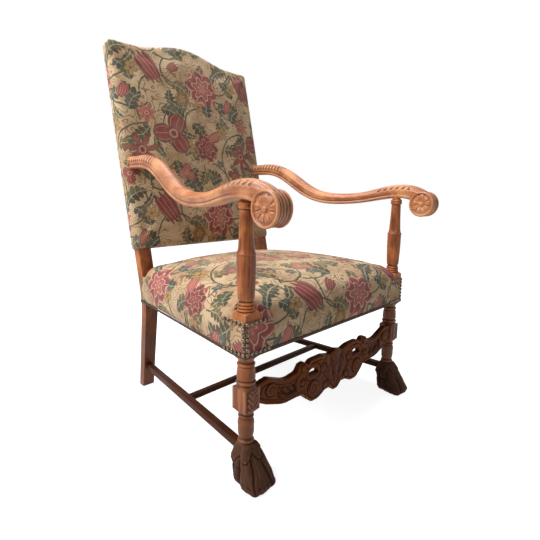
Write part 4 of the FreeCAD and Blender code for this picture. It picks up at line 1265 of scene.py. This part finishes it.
@dataclass
class PawFoot:
    """A carved paw with toes and tufts of fur."""

    side: Side
    voxel: float = 0.0017
    closing: float = 0.004
    top: float = 0.0925
    cuff_height: float = 0.079
    cuff_fall: float = 0.017
    cuff_rise: float = 0.0019
    toe_depth: float = 0.0052
    toe_turns: float = 4.2
    toe_angle: float = 0.83
    lobe_rise: float = 0.0034
    rear_cut: float = 0.0045
    tuck_height: float = 0.018

    def build(self, finishes: Finishes) -> None:
        """Carve the paw.

        Args:
            finishes: The chair's finishes.
        """
        label = self.side.name.lower()
        node = f"paw_foot_{label}"
        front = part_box(node)[0].y
        shape = remeshed(node_copy(node), self.voxel)
        for step in (self.closing, -self.closing):
            shape.normal_update()
            shifts = [vert.normal * step for vert in shape.verts]
            for vert, shift in zip(shape.verts, shifts):
                vert.co += shift
            shape = remeshed(shape, self.voxel)
        smoothed(shape, 4)
        shape.normal_update()
        cuts: dict[int, float] = {}
        centre = Vector((self.side.value * POST_X, POST_Y))
        moves: list[tuple[bmesh.types.BMVert, Vector]] = []
        for vert in shape.verts:
            spot = Vector((vert.co.x, vert.co.y)) - centre
            angle = math.atan2(spot.x * self.side.value, -spot.y)
            height = vert.co.z
            wander = noise.noise(Vector((angle * 1.4, height * 34, self.side.value * 3.0)))
            rear = ease(0.95, 1.35, abs(angle))
            body = ease(self.top, self.top - 0.0085, height) * ease(0.97, 0.7, abs(vert.normal.z))
            edge = self.cuff_height - self.cuff_fall * abs(math.cos(3 * (angle - 0.8))) ** 1.5
            edge += 0.002 * wander - 0.008 * rear
            cuff = ease(-0.0016, 0.0016, height - edge)
            under = swell(edge - 0.0028, 0.003, height)
            toe = abs(math.cos(self.toe_turns * (angle - self.toe_angle) + 0.35 * wander)) ** 0.7
            grown = ease(edge, edge - 0.018, height)
            knuckle = swell(0.034, 0.014, height) - 0.8 * swell(0.017, 0.004, height)
            fine = math.cos(angle * 34 + 4.0 * wander)
            lobes = swell(0.057, 0.017, height) + 0.7 * swell(0.022, 0.015, height)
            notch = swell(0.039, 0.005, height) * rear
            depth = self.cuff_rise * cuff - 0.0006 * under + 0.0003 * fine - 0.0014 * notch
            depth += grown * (self.toe_depth * (toe - 0.8) + 0.0014 * toe * knuckle)
            depth += rear * (self.lobe_rise * lobes - self.rear_cut)
            # Painted shade under the cuff, between the toes, in the fur strands and in the notch.
            dark = 0.22 * under + 0.34 * grown * (1 - toe) + 0.04 * (0.5 - 0.5 * fine) + 0.16 * notch
            cuts[vert.index] = body * dark
            tuck = ease(self.tuck_height, 0.0, height) ** 2 * (0.0022 + 0.0035 * rear)
            inward = Vector((-spot.x, -spot.y, 0.0)).normalized()
            moves.append((vert, vert.normal * (body * depth) + inward * tuck))
        for vert, move in moves:
            vert.co += move
            vert.co.z = max(vert.co.z, 0.0)
            vert.co.y = max(vert.co.y, front)
        mark_relief(shape, cuts)
        finished(f"paw_{label}_carved", shape, finishes.made["paw_wood"], "worn_wood", node)


@dataclass
class FrontStretcher:
    """The pierced and carved rail between the front posts."""

    voxel: float = 0.0019
    base: float = 0.170
    pierced: tuple[float, float] = (0.0955, 0.189)
    pierced_growth: float = 0.26
    groove: float = 0.003
    panel: tuple[float, float] = (0.157, 0.231)
    panel_depth: float = 0.0042
    leaf_rise: float = 0.0026
    shell_foot: float = 0.062
    shell_half: float = 0.06
    scroll_from: float = 0.128
    eyes: tuple[tuple[tuple[float, float], float, float], ...] = (
        ((0.250, 0.025), 0.018, 0.011), ((0.099, -0.022), 0.023, 0.0105), ((0.137, 0.041), 0.010, 0.0),
        ((0.139, 0.005), 0.011, 0.008), ((0.056, 0.018), 0.015, 0.0095), ((0.048, -0.03), 0.012, 0.009))

    def build(self, finishes: Finishes) -> None:
        """Carve mouldings along its outline, leaves in its panels and spirals on its bosses.

        Args:
            finishes: The chair's finishes.
        """
        low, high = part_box("front_stretcher")
        shape = remeshed(node_copy("front_stretcher"), self.voxel)
        shape.normal_update()
        middle = (low.y + high.y) / 2
        rims = [vert.co.copy() for vert in shape.verts if abs(vert.co.y - middle) < 0.003]
        tree = kdtree.KDTree(len(rims))
        for place, spot in enumerate(rims):
            tree.insert(Vector((spot.x, 0.0, spot.z)), place)
        tree.balance()
        for vert in shape.verts:
            off = vert.co.z - self.pierced[1]
            near = ease(0.034, 0.026, abs(abs(vert.co.x) - self.pierced[0])) * ease(0.026, 0.012, abs(off))
            vert.co.z -= self.pierced_growth * off * near
        moves: list[tuple[bmesh.types.BMVert, float]] = []
        for vert in shape.verts:
            facing = ease(0.45, 0.85, abs(vert.normal.y))
            if facing <= 0.0:
                continue
            inward = tree.find(Vector((vert.co.x, 0.0, vert.co.z)))[2]
            moves.append((vert, facing * self._relief(abs(vert.co.x), vert.co.z - self.base, inward)))
        shape.verts.index_update()
        # Painted shade: the deeper a place is cut in, the darker it is.
        cuts = {vert.index: max(0.0, -depth) * 80 for vert, depth in moves}
        for vert, depth in moves:
            sign = 1 if vert.normal.y > 0 else -1
            vert.co.y = min(max(vert.co.y + sign * depth, low.y), high.y)
        mark_relief(shape, cuts)
        finished("front_stretcher_carved", shape, finishes.made["carved_stretcher_wood"], "carved_wood",
                 "front_stretcher")

    def _relief(self, out: float, up: float, inward: float) -> float:
        """Return how proud the carving stands.

        Args:
            out: Distance from the middle.
            up: Height above the rail's middle line.
            inward: Distance from the outline.

        Returns:
            The height of the carving.
        """
        for centre, radius, pitch in self.eyes:
            spot = Vector((out - centre[0], up - centre[1]))
            if spot.length > radius:
                continue
            groove = swell(radius * 0.9, 0.0022, spot.length)
            if pitch:
                turn = spot.length / pitch - math.atan2(spot.y, spot.x) / (2 * math.pi)
                groove = max(groove, swell(0.5, 0.24, turn % 1.0) * ease(0.003, 0.005, spot.length))
            return 0.002 * (1 - (spot.length / radius) ** 2) - 0.0036 * groove
        depth = -0.0012 * ease(0.003, 0.0, inward)
        if out > self.scroll_from:
            below = ease(0.008, -0.002, up)
            lines = swell(0.0058, 0.0017, inward) + swell(0.0112, 0.0017, inward)
            depth -= self.groove * (below * lines + (1 - below) * swell(0.0115, 0.002, inward))
            panel = ease(self.panel[0], self.panel[0] + 0.004, out)
            panel *= ease(self.panel[1], self.panel[1] - 0.004, out)
            leaf = abs(math.sin(150 * (out + 0.8 * abs(up - 0.008))))
            depth -= panel * ease(0.0125, 0.0165, inward) * (self.panel_depth - self.leaf_rise * leaf)
        elif out > self.shell_half:
            depth -= self.groove * swell(0.0085, 0.002, inward)
        else:
            rise = up + self.shell_foot
            rib = abs(math.cos(math.atan2(out, rise) * 6.5))
            scallop = swell(0.5, 0.2, (math.hypot(out, rise) * 26 + 0.5 * rib) % 1.0)
            depth += (0.0034 * rib ** 0.7 - 0.0026 - 0.0016 * scallop) * ease(0.0, 0.004, inward)
        return depth


@dataclass
class PlainFrame:
    """Rear posts and low stretchers with rounded edges, and the hidden parts of the frame."""

    round_width: float = 0.0016

    def build(self, finishes: Finishes) -> None:
        """Round the plain wood and dress what lies under the cloth.

        Args:
            finishes: The chair's finishes.
        """
        plain = {"rear_post_left": "turned_wood", "rear_post_right": "turned_wood",
                 "side_stretcher_left": "stretcher_wood", "side_stretcher_right": "stretcher_wood",
                 "cross_stretcher": "cross_wood"}
        for node, material in plain.items():
            finished(f"{node}_rounded", softened(node, self.round_width), finishes.made[material],
                     "carved_wood", node, crisp=25)
        finishes.dress("inner_wood", "seat_rail_front", "seat_rail_left", "seat_rail_right",
                       "seat_rail_back", "corner_block_front_left", "corner_block_front_right",
                       "corner_block_rear_left", "corner_block_rear_right", "back_crest_rail",
                       "back_bottom_rail", "arm_dowels")
        finishes.dress("webbing", "seat_webbing_lengthwise", "seat_webbing_crosswise",
                       "back_webbing_upright", "back_webbing_level")
        finishes.dress("hessian", "seat_hessian", "back_hessian")


def puffed(shape: bmesh.types.BMesh, held: str, cap: float) -> bmesh.types.BMesh:
    """Swell a closed cloth form with pressure.

    Args:
        shape: Even mesh with a float layer of that name, 1 where the cloth is nailed down.
        held: The layer's name.
        cap: The furthest that a point may move.

    Returns:
        The swollen mesh.
    """
    layer = shape.verts.layers.float[held]
    firm = [vert[layer] for vert in shape.verts]
    shape.normal_update()
    start = [(vert.co.copy(), vert.normal.copy()) for vert in shape.verts]
    blank = loose_object(shape)
    group = blank.vertex_groups.new(name=held)
    for place, weight in enumerate(firm):
        group.add([place], weight, "REPLACE")
    cloth = blank.modifiers.new("cloth", "CLOTH")
    cloth.settings.quality = CLOTH_QUALITY
    cloth.settings.mass = CLOTH_MASS
    cloth.settings.use_pressure = True
    cloth.settings.uniform_pressure_force = PUFF_PRESSURE
    cloth.settings.vertex_group_mass = held
    cloth.settings.effector_weights.gravity = 0.0
    cloth.point_cache.frame_start = 1
    cloth.point_cache.frame_end = PUFF_FRAMES
    for step in range(1, PUFF_FRAMES + 1):
        bpy.context.scene.frame_set(step)
    swollen = taken(blank)
    bpy.context.scene.frame_set(1)
    for vert, (before, out) in zip(swollen.verts, start):
        move = vert.co - before
        move -= out * min(0.0, move.dot(out))
        if move.length > cap:
            move = move.normalized() * cap
        vert.co = before + move
    return swollen


def pad_volume(columns: int, rows: int, top: Callable[[float, float], Vector],
               under: Callable[[float, float], Vector]) -> bmesh.types.BMesh:
    """Make a closed pad from a grid.

    Args:
        columns: Faces across.
        rows: Faces along.
        top: Gives a point of the upper face from two shares between -1 and 1.
        under: Gives the point below it.

    Returns:
        The pad.
    """
    shape = bmesh.new()
    bmesh.ops.create_grid(shape, x_segments=columns, y_segments=rows, size=1.0)
    shares = {vert: vert.co.copy() for vert in shape.verts}
    made = bmesh.ops.extrude_face_region(shape, geom=shape.faces[:])["geom"]
    for vert in (item for item in made if isinstance(item, bmesh.types.BMVert)):
        vert.co = top(vert.co.x, vert.co.y)
    for vert, share in shares.items():
        vert.co = under(share.x, share.y)
    bmesh.ops.recalc_face_normals(shape, faces=shape.faces)
    return shape


def subdivided(shape: bmesh.types.BMesh) -> bmesh.types.BMesh:
    """Subdivide a mesh smoothly, once.

    Args:
        shape: The mesh, which is used up.

    Returns:
        The finer mesh.
    """
    blank = loose_object(shape)
    finer = blank.modifiers.new("finer", "SUBSURF")
    finer.levels = 1
    finer.render_levels = 1
    return taken(blank)


@dataclass
class SeatPad:
    """The stuffed seat with its cover down over the rails, its braid and its nails."""

    front_half: float = 0.3328
    rear_half: float = 0.2773
    front: float = -0.3209
    rear: float = 0.2307
    under: float = 0.2966
    nailed: float = 0.3725
    edge_rise: float = 0.034
    crown_rise: float = 0.037
    roll: float = 0.052
    voxel: float = 0.006
    cap: float = 0.006
    post_half: float = 0.021
    post_room: float = 0.0225
    rear_post: tuple[float, float] = (0.233, 0.196)
    cloth_turn: float = 0.398
    columns: int = 110
    rows: int = 92
    braid_drop: float = 0.0035
    braid_height: float = 0.006
    braid_thickness: float = 0.0018
    lining_sag: float = 0.004
    lining_thickness: float = 0.0008
    nail_radius: float = 0.0051
    nail_proud: float = 0.0012
    nail_ends: tuple[float, float] = (0.0175, 0.0445)
    nail_rows: tuple[float, float] = (0.3665, 0.3015)
    nail_column: tuple[float, float] = (0.356, 0.312)

    def half_at(self, depth: float) -> float:
        """Tell how wide the seat is.

        Args:
            depth: A place from front to back.

        Returns:
            The half width there.
        """
        start = POST_Y + self.post_half
        share = min(max((depth - start) / (self.rear - start), 0.0), 1.0)
        return self.front_half + (self.rear_half - self.front_half) * share

    def top(self, across: float, along: float) -> Vector:
        """Place a point of the upper face.

        Args:
            across: Share from left to right, between -1 and 1.
            along: Share from front to back, between -1 and 1.

        Returns:
            The point.
        """
        depth = self.front + (self.rear - self.front) * (along + 1) / 2
        half = self.half_at(depth)
        spot = Vector((across * half, depth, self.nailed))
        near = min(half - abs(spot.x), depth - self.front, self.rear - depth)
        share = min(near / self.roll, 1.0)
        spot.z += self.edge_rise * math.sqrt(max(0.0, 1 - (1 - share) ** 2))
        spot.z += self.crown_rise * (1 - across ** 2) * (1 - along ** 2)
        if self.in_corner(spot):
            spot.z = self.nailed
        return spot

    def in_corner(self, spot: Vector) -> bool:
        """Tell whether a post passes through the pad at a point.

        Args:
            spot: The point.

        Returns:
            True at a post.
        """
        front = abs(spot.x) > POST_X - self.post_room and spot.y < POST_Y + self.post_room
        rear = abs(spot.x) > self.rear_post[0] and spot.y > self.rear_post[1]
        return front or rear

    def below(self, across: float, along: float) -> Vector:
        """Place the point below one of the upper face.

        Args:
            across: Share from left to right, between -1 and 1.
            along: Share from front to back, between -1 and 1.

        Returns:
            The point.
        """
        spot = self.top(across, along)
        spot.z = self.under
        return spot

    def build(self, finishes: Finishes) -> None:
        """Make the pad, its braid, its lining and its nails.

        Args:
            finishes: The chair's finishes.
        """
        shape = remeshed(pad_volume(self.columns, self.rows, self.top, self.below), self.voxel)
        layer = shape.verts.layers.float.new("held")
        for vert in shape.verts:
            firm = vert.co.z < self.under + 0.008 or self.in_corner(vert.co)
            vert[layer] = 1.0 if firm else 0.0
        shape = subdivided(puffed(shape, "held", self.cap))
        self._lay_cloth(shape)
        pad = finished("seat_pad", shape, finishes.made["tapestry"], "tapestry", "seat_cover",
                       "seat_stuffing")
        self._braid(finishes)
        self._lining(finishes)
        self._nails(finishes)

    def _lay_cloth(self, shape: bmesh.types.BMesh) -> None:
        """Store where each point lies on the flat cloth, and how worn it is.

        Args:
            shape: The pad.
        """
        shape.normal_update()
        cloth = shape.verts.layers.float_vector.new("cloth")
        worn = shape.verts.layers.float.new("worn")
        middle = (self.front + self.rear) / 2
        for vert in shape.verts:
            if vert.co.z < self.under + 0.001:
                vert.co.z = self.under
            drop = max(0.0, self.cloth_turn - vert.co.z)
            flat = max(vert.normal.x ** 2 + vert.normal.y ** 2, 1e-6)
            u = vert.co.x + math.copysign(drop * vert.normal.x ** 2 / flat, vert.co.x)
            v = vert.co.y + math.copysign(drop * vert.normal.y ** 2 / flat, vert.co.y - middle)
            vert[cloth] = Vector((u, v, 0.0))
            reach = math.hypot(vert.co.x / 0.26, (vert.co.y - middle - 0.03) / 0.25)
            vert[worn] = 0.75 * ease(1.15, 0.35, reach) if vert.co.z > 0.38 else 0.1

    def _braid(self, finishes: Finishes) -> None:
        """Make the narrow braid along the lower edge.

        Args:
            finishes: The chair's finishes.
        """
        shape = bmesh.new()
        corner = POST_Y + self.post_half
        outline = [(-self.front_half, self.front), (self.front_half, self.front), (self.front_half, corner),
                   (self.rear_half, self.rear), (-self.rear_half, self.rear), (-self.front_half, corner)]
        verts = [shape.verts.new((x, y, self.under - self.braid_drop)) for x, y in outline]
        ring = [shape.edges.new(pair) for pair in zip(verts, verts[1:] + verts[:1])]
        made = bmesh.ops.extrude_edge_only(shape, edges=ring)["geom"]
        raised = [item for item in made if isinstance(item, bmesh.types.BMVert)]
        bmesh.ops.translate(shape, verts=raised, vec=(0, 0, self.braid_height))
        walled(shape, -self.braid_thickness)
        finished("seat_braid", shape, finishes.made["braid"], "tapestry", crisp=30)

    def _lining(self, finishes: Finishes) -> None:
        """Make the dark cloth under the seat.

        Args:
            finishes: The chair's finishes.
        """
        low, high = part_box("seat_bottom_lining")
        shape = bmesh.new()
        bmesh.ops.create_grid(shape, x_segments=30, y_segments=26, size=1.0)
        inset = self.front_half - high.x
        for vert in shape.verts:
            across, along = vert.co.x, vert.co.y
            depth = low.y + (high.y - low.y) * (along + 1) / 2
            sag = self.lining_sag * (1 - across ** 2) * (1 - along ** 2)
            vert.co = Vector((across * (self.half_at(depth) - inset), depth, low.z - 0.0002 - sag))
        area = sum(face.calc_area() for face in shape.faces)
        walled(shape, self.lining_thickness)
        lining = finished("seat_lining", shape, finishes.made["lining"], "lining", "seat_bottom_lining")

    def _nails(self, finishes: Finishes) -> None:
        """Set the nails round both front blocks.

        Args:
            finishes: The chair's finishes.
        """
        near, far = self.nail_ends
        for side in Side:
            shape = bmesh.new()
            outer = side.value * (self.front_half + self.nail_proud)
            front = self.front - self.nail_proud
            x_out, x_in = side.value * (POST_X + near), side.value * (POST_X - far)
            rows: list[tuple[Vector, Vector, Vector, int]] = []
            y_front, y_rear = POST_Y - near, POST_Y + far
            ahead, aside = Vector((0, -1, 0)), Vector((side.value, 0, 0))
            for height in self.nail_rows:
                rows.append((Vector((x_out, front, height)), Vector((x_in, front, height)), ahead, 6))
                rows.append((Vector((outer, y_front, height)), Vector((outer, y_rear, height)), aside, 6))
            high, low = self.nail_column
            rows.append((Vector((x_out, front, high)), Vector((x_out, front, low)), ahead, 5))
            rows.append((Vector((outer, y_front, high)), Vector((outer, y_front, low)), aside, 5))
            for first, last, out, count in rows:
                for place in range(count):
                    self._nail(shape, first.lerp(last, place / (count - 1)), out)
            finished(f"nails_{side.name.lower()}", shape, finishes.made["brass"], "nails")

    def _nail(self, shape: bmesh.types.BMesh, spot: Vector, out: Vector) -> None:
        """Add one domed nail head.

        Args:
            shape: The mesh it joins.
            spot: Its middle.
            out: The way it looks.
        """
        made = bmesh.ops.create_uvsphere(shape, u_segments=10, v_segments=6,
                                         radius=self.nail_radius)["verts"]
        bmesh.ops.scale(shape, verts=made, vec=(1, 1, 0.62))
        turn = out.to_track_quat("Z", "Y").to_matrix().to_4x4()
        bmesh.ops.transform(shape, matrix=Matrix.Translation(spot) @ turn, verts=made)


@dataclass
class BackPad:
    """The stuffed back with its crest, covered all round."""

    half: float = 0.2835
    bottom: float = 0.1675
    shoulder: float = 0.8235
    crest_rise: float = 0.0345
    crest_half: float = 0.202
    corner: float = 0.014
    edge_rise: float = 0.013
    crown_rise: float = 0.018
    roll: float = 0.024
    behind: float = 0.0315
    voxel: float = 0.006
    cap: float = 0.005
    held_below: float = 0.004
    columns: int = 92
    rows: int = 114
    cloth_turn: float = 0.006
    cloth_shift: tuple[float, float] = (0.05, 0.31)
    wear: float = 0.18

    def crest(self, across: float) -> float:
        """Tell how high the top edge is.

        Args:
            across: Distance from the middle.

        Returns:
            The height there, along the slope.
        """
        rise = 0.0
        if abs(across) < self.crest_half:
            rise = 0.5 + 0.5 * math.cos(math.pi * across / self.crest_half)
        near = max(0.0, abs(across) - (self.half - self.corner))
        drop = self.corner - math.sqrt(max(0.0, self.corner ** 2 - near ** 2))
        return self.shoulder + self.crest_rise * rise - drop

    def at(self, across: float, slope: float, proud: float) -> Vector:
        """Return a point of the leaning back."""
        return KNEE + Vector((across, 0, 0)) + SLOPE_UP * slope + SLOPE_FRONT * proud

    def top(self, across: float, along: float) -> Vector:
        """Place a point of the front face.

        Args:
            across: Share from left to right, between -1 and 1.
            along: Share from bottom to top, between -1 and 1.

        Returns:
            The point.
        """
        out = across * self.half
        crest = self.crest(out)
        slope = self.bottom + (crest - self.bottom) * (along + 1) / 2
        near = min(self.half - abs(out), crest - slope, slope - self.bottom)
        share = min(near / self.roll, 1.0)
        proud = self.edge_rise * math.sqrt(max(0.0, 1 - (1 - share) ** 2))
        proud += self.crown_rise * (1 - across ** 2) ** 0.8 * (1 - along ** 2) ** 0.8
        return self.at(out, slope, proud)

    def below(self, across: float, along: float) -> Vector:
        """Place the point behind one of the front face.

        Args:
            across: Share from left to right, between -1 and 1.
            along: Share from bottom to top, between -1 and 1.

        Returns:
            The point.
        """
        out = across * self.half
        slope = self.bottom + (self.crest(out) - self.bottom) * (along + 1) / 2
        return self.at(out, slope, -self.behind)

    def build(self, finishes: Finishes) -> None:
        """Make the pad.

        Args:
            finishes: The chair's finishes.
        """
        shape = remeshed(pad_volume(self.columns, self.rows, self.top, self.below), self.voxel)
        layer = shape.verts.layers.float.new("held")
        for vert in shape.verts:
            proud = (vert.co - KNEE).dot(SLOPE_FRONT)
            vert[layer] = 1.0 if proud < self.held_below else 0.0
        shape = subdivided(puffed(shape, "held", self.cap))
        self._lay_cloth(shape)
        pad = finished("back_pad", shape, finishes.made["tapestry"], "tapestry", "back_cover",
                       "back_stuffing", "back_outside_panel")

    def _lay_cloth(self, shape: bmesh.types.BMesh) -> None:
        """Store where each point lies on the flat cloth, and how worn it is.

        Args:
            shape: The pad.
        """
        shape.normal_update()
        cloth = shape.verts.layers.float_vector.new("cloth")
        worn = shape.verts.layers.float.new("worn")
        for vert in shape.verts:
            spot = vert.co - KNEE
            slope, proud = spot.dot(SLOPE_UP), spot.dot(SLOPE_FRONT)
            rise = vert.normal.dot(SLOPE_UP)
            back = max(0.0, self.cloth_turn - proud)
            flat = max(vert.normal.x ** 2 + rise ** 2, 1e-6)
            u = vert.co.x + math.copysign(back * vert.normal.x ** 2 / flat, vert.co.x)
            v = slope + math.copysign(back * rise ** 2 / flat, rise)
            vert[cloth] = Vector((u + self.cloth_shift[0], v + self.cloth_shift[1], 0.0))
            vert[worn] = self.wear


@dataclass
class Studio:
    """A pale floor, soft lamps and the camera at the photograph's angle."""

    spot: tuple[float, float, float] = (-0.8432, POST_Y - 0.5938, 0.6310)
    ahead: tuple[float, float, float] = (0.6843, 0.7106, -0.1635)
    roll: float = math.radians(0.43)
    lens: float = 394.92 * 36 / 540
    shift: tuple[float, float] = (0.0188, -0.0208)
    air: float = 0.155
    floor_grey: float = 0.62
    floor_glow: float = 0.86
    floor_half: float = 14.0
    aim: tuple[float, float, float] = (0.0, 0.0, 0.5)
    lamps: tuple[tuple[str, tuple[float, float, float], float, float], ...] = (
        ("key", (-2.4, 0.45, 2.6), 1.6, 98.0), ("fill", (-0.4, -3.0, 0.7), 2.0, 2.0),
        ("top", (-0.1, 0.55, 3.0), 1.8, 56.0))

    def build(self) -> None:
        """Set the floor, the lamps, the world and the camera."""
        self._camera()
        self._floor()
        self._world()
        for lamp in self.lamps:
            self._lamp(*lamp)

    def _camera(self) -> None:
        """Make the camera."""
        lens = bpy.data.cameras.new("camera")
        lens.sensor_width = 36.0
        lens.lens = self.lens
        lens.shift_x, lens.shift_y = self.shift
        camera = bpy.data.objects.new("camera", lens)
        aim = Vector(self.ahead).to_track_quat("-Z", "Y").to_matrix()
        turn = (aim @ Matrix.Rotation(self.roll, 3, "Z")).to_4x4()
        camera.matrix_world = Matrix.Translation(self.spot) @ turn
        bpy.context.scene.collection.objects.link(camera)
        bpy.context.scene.camera = camera

    def _floor(self) -> None:
        """Make the floor, white to the camera away from the chair's shadow."""
        shape = bmesh.new()
        bmesh.ops.create_grid(shape, x_segments=1, y_segments=1, size=self.floor_half)
        mesh = bpy.data.meshes.new("floor")
        shape.to_mesh(mesh)
        shape.free()
        material, sheet, shader = fresh_material("pale_floor")
        shader.inputs["Base Color"].default_value = (self.floor_grey,) * 3 + (1.0,)
        shader.inputs["Roughness"].default_value = 0.9
        shader.inputs["Emission Color"].default_value = (1.0, 1.0, 1.0, 1.0)
        glow = sheet.math("MULTIPLY", self._seen(sheet), self.floor_glow)
        sheet.feed(shader.inputs["Emission Strength"], glow)
        mesh.materials.append(material)
        floor = bpy.data.objects.new("floor", mesh)
        bpy.context.scene.collection.objects.link(floor)

    def _world(self) -> None:
        """Light the scene evenly, with white behind it."""
        world = bpy.data.worlds.new("studio")
        bpy.context.scene.world = world
        world.use_nodes = True
        sheet = NodeSheet(world.node_tree)
        back = world.node_tree.nodes["Background"]
        back.inputs["Color"].default_value = (1.0, 1.0, 1.0, 1.0)
        strength = sheet.math("MULTIPLY_ADD", self._seen(sheet), 1 - self.air, self.air)
        sheet.feed(back.inputs["Strength"], strength)

    def _seen(self, sheet: NodeSheet) -> Socket:
        """Tell where the background is looked at.

        Args:
            sheet: The tree that asks.

        Returns:
            1 for camera, glossy and transmission rays.
        """
        path = sheet.add("ShaderNodeLightPath")
        seen = sheet.math("MAXIMUM", path.outputs["Is Camera Ray"], path.outputs["Is Glossy Ray"])
        return sheet.math("MAXIMUM", seen, path.outputs["Is Transmission Ray"])

    def _lamp(self, name: str, spot: tuple[float, float, float], size: float, power: float) -> None:
        """Hang one square lamp.

        Args:
            name: Its name.
            spot: Its place.
            size: Its side.
            power: Its power.
        """
        light = bpy.data.lights.new(name, "AREA")
        light.size = size
        light.energy = power
        lamp = bpy.data.objects.new(name, light)
        aim = (Vector(self.aim) - Vector(spot)).to_track_quat("-Z", "Y").to_matrix().to_4x4()
        lamp.matrix_world = Matrix.Translation(spot) @ aim
        bpy.context.scene.collection.objects.link(lamp)


def main() -> None:
    """Build the chair and its studio, and note the sizes."""
    logging.basicConfig(level=logging.INFO, format="%(message)s")
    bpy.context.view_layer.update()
    bpy.context.scene.view_settings.view_transform = "Standard"
    finishes = Finishes(Effects())
    finishes.build()
    parts = [PlainFrame(), FrontStretcher(), SeatPad(), BackPad()]
    for side in Side:
        parts += [FrontPost(side), ArmRest(side), PawFoot(side)]
    for part in parts:
        part.build(finishes)
        LOG.info("%s done", type(part).__name__)
    Studio().build()
    bpy.context.view_layer.update()


if __name__ == "__main__":
    main()
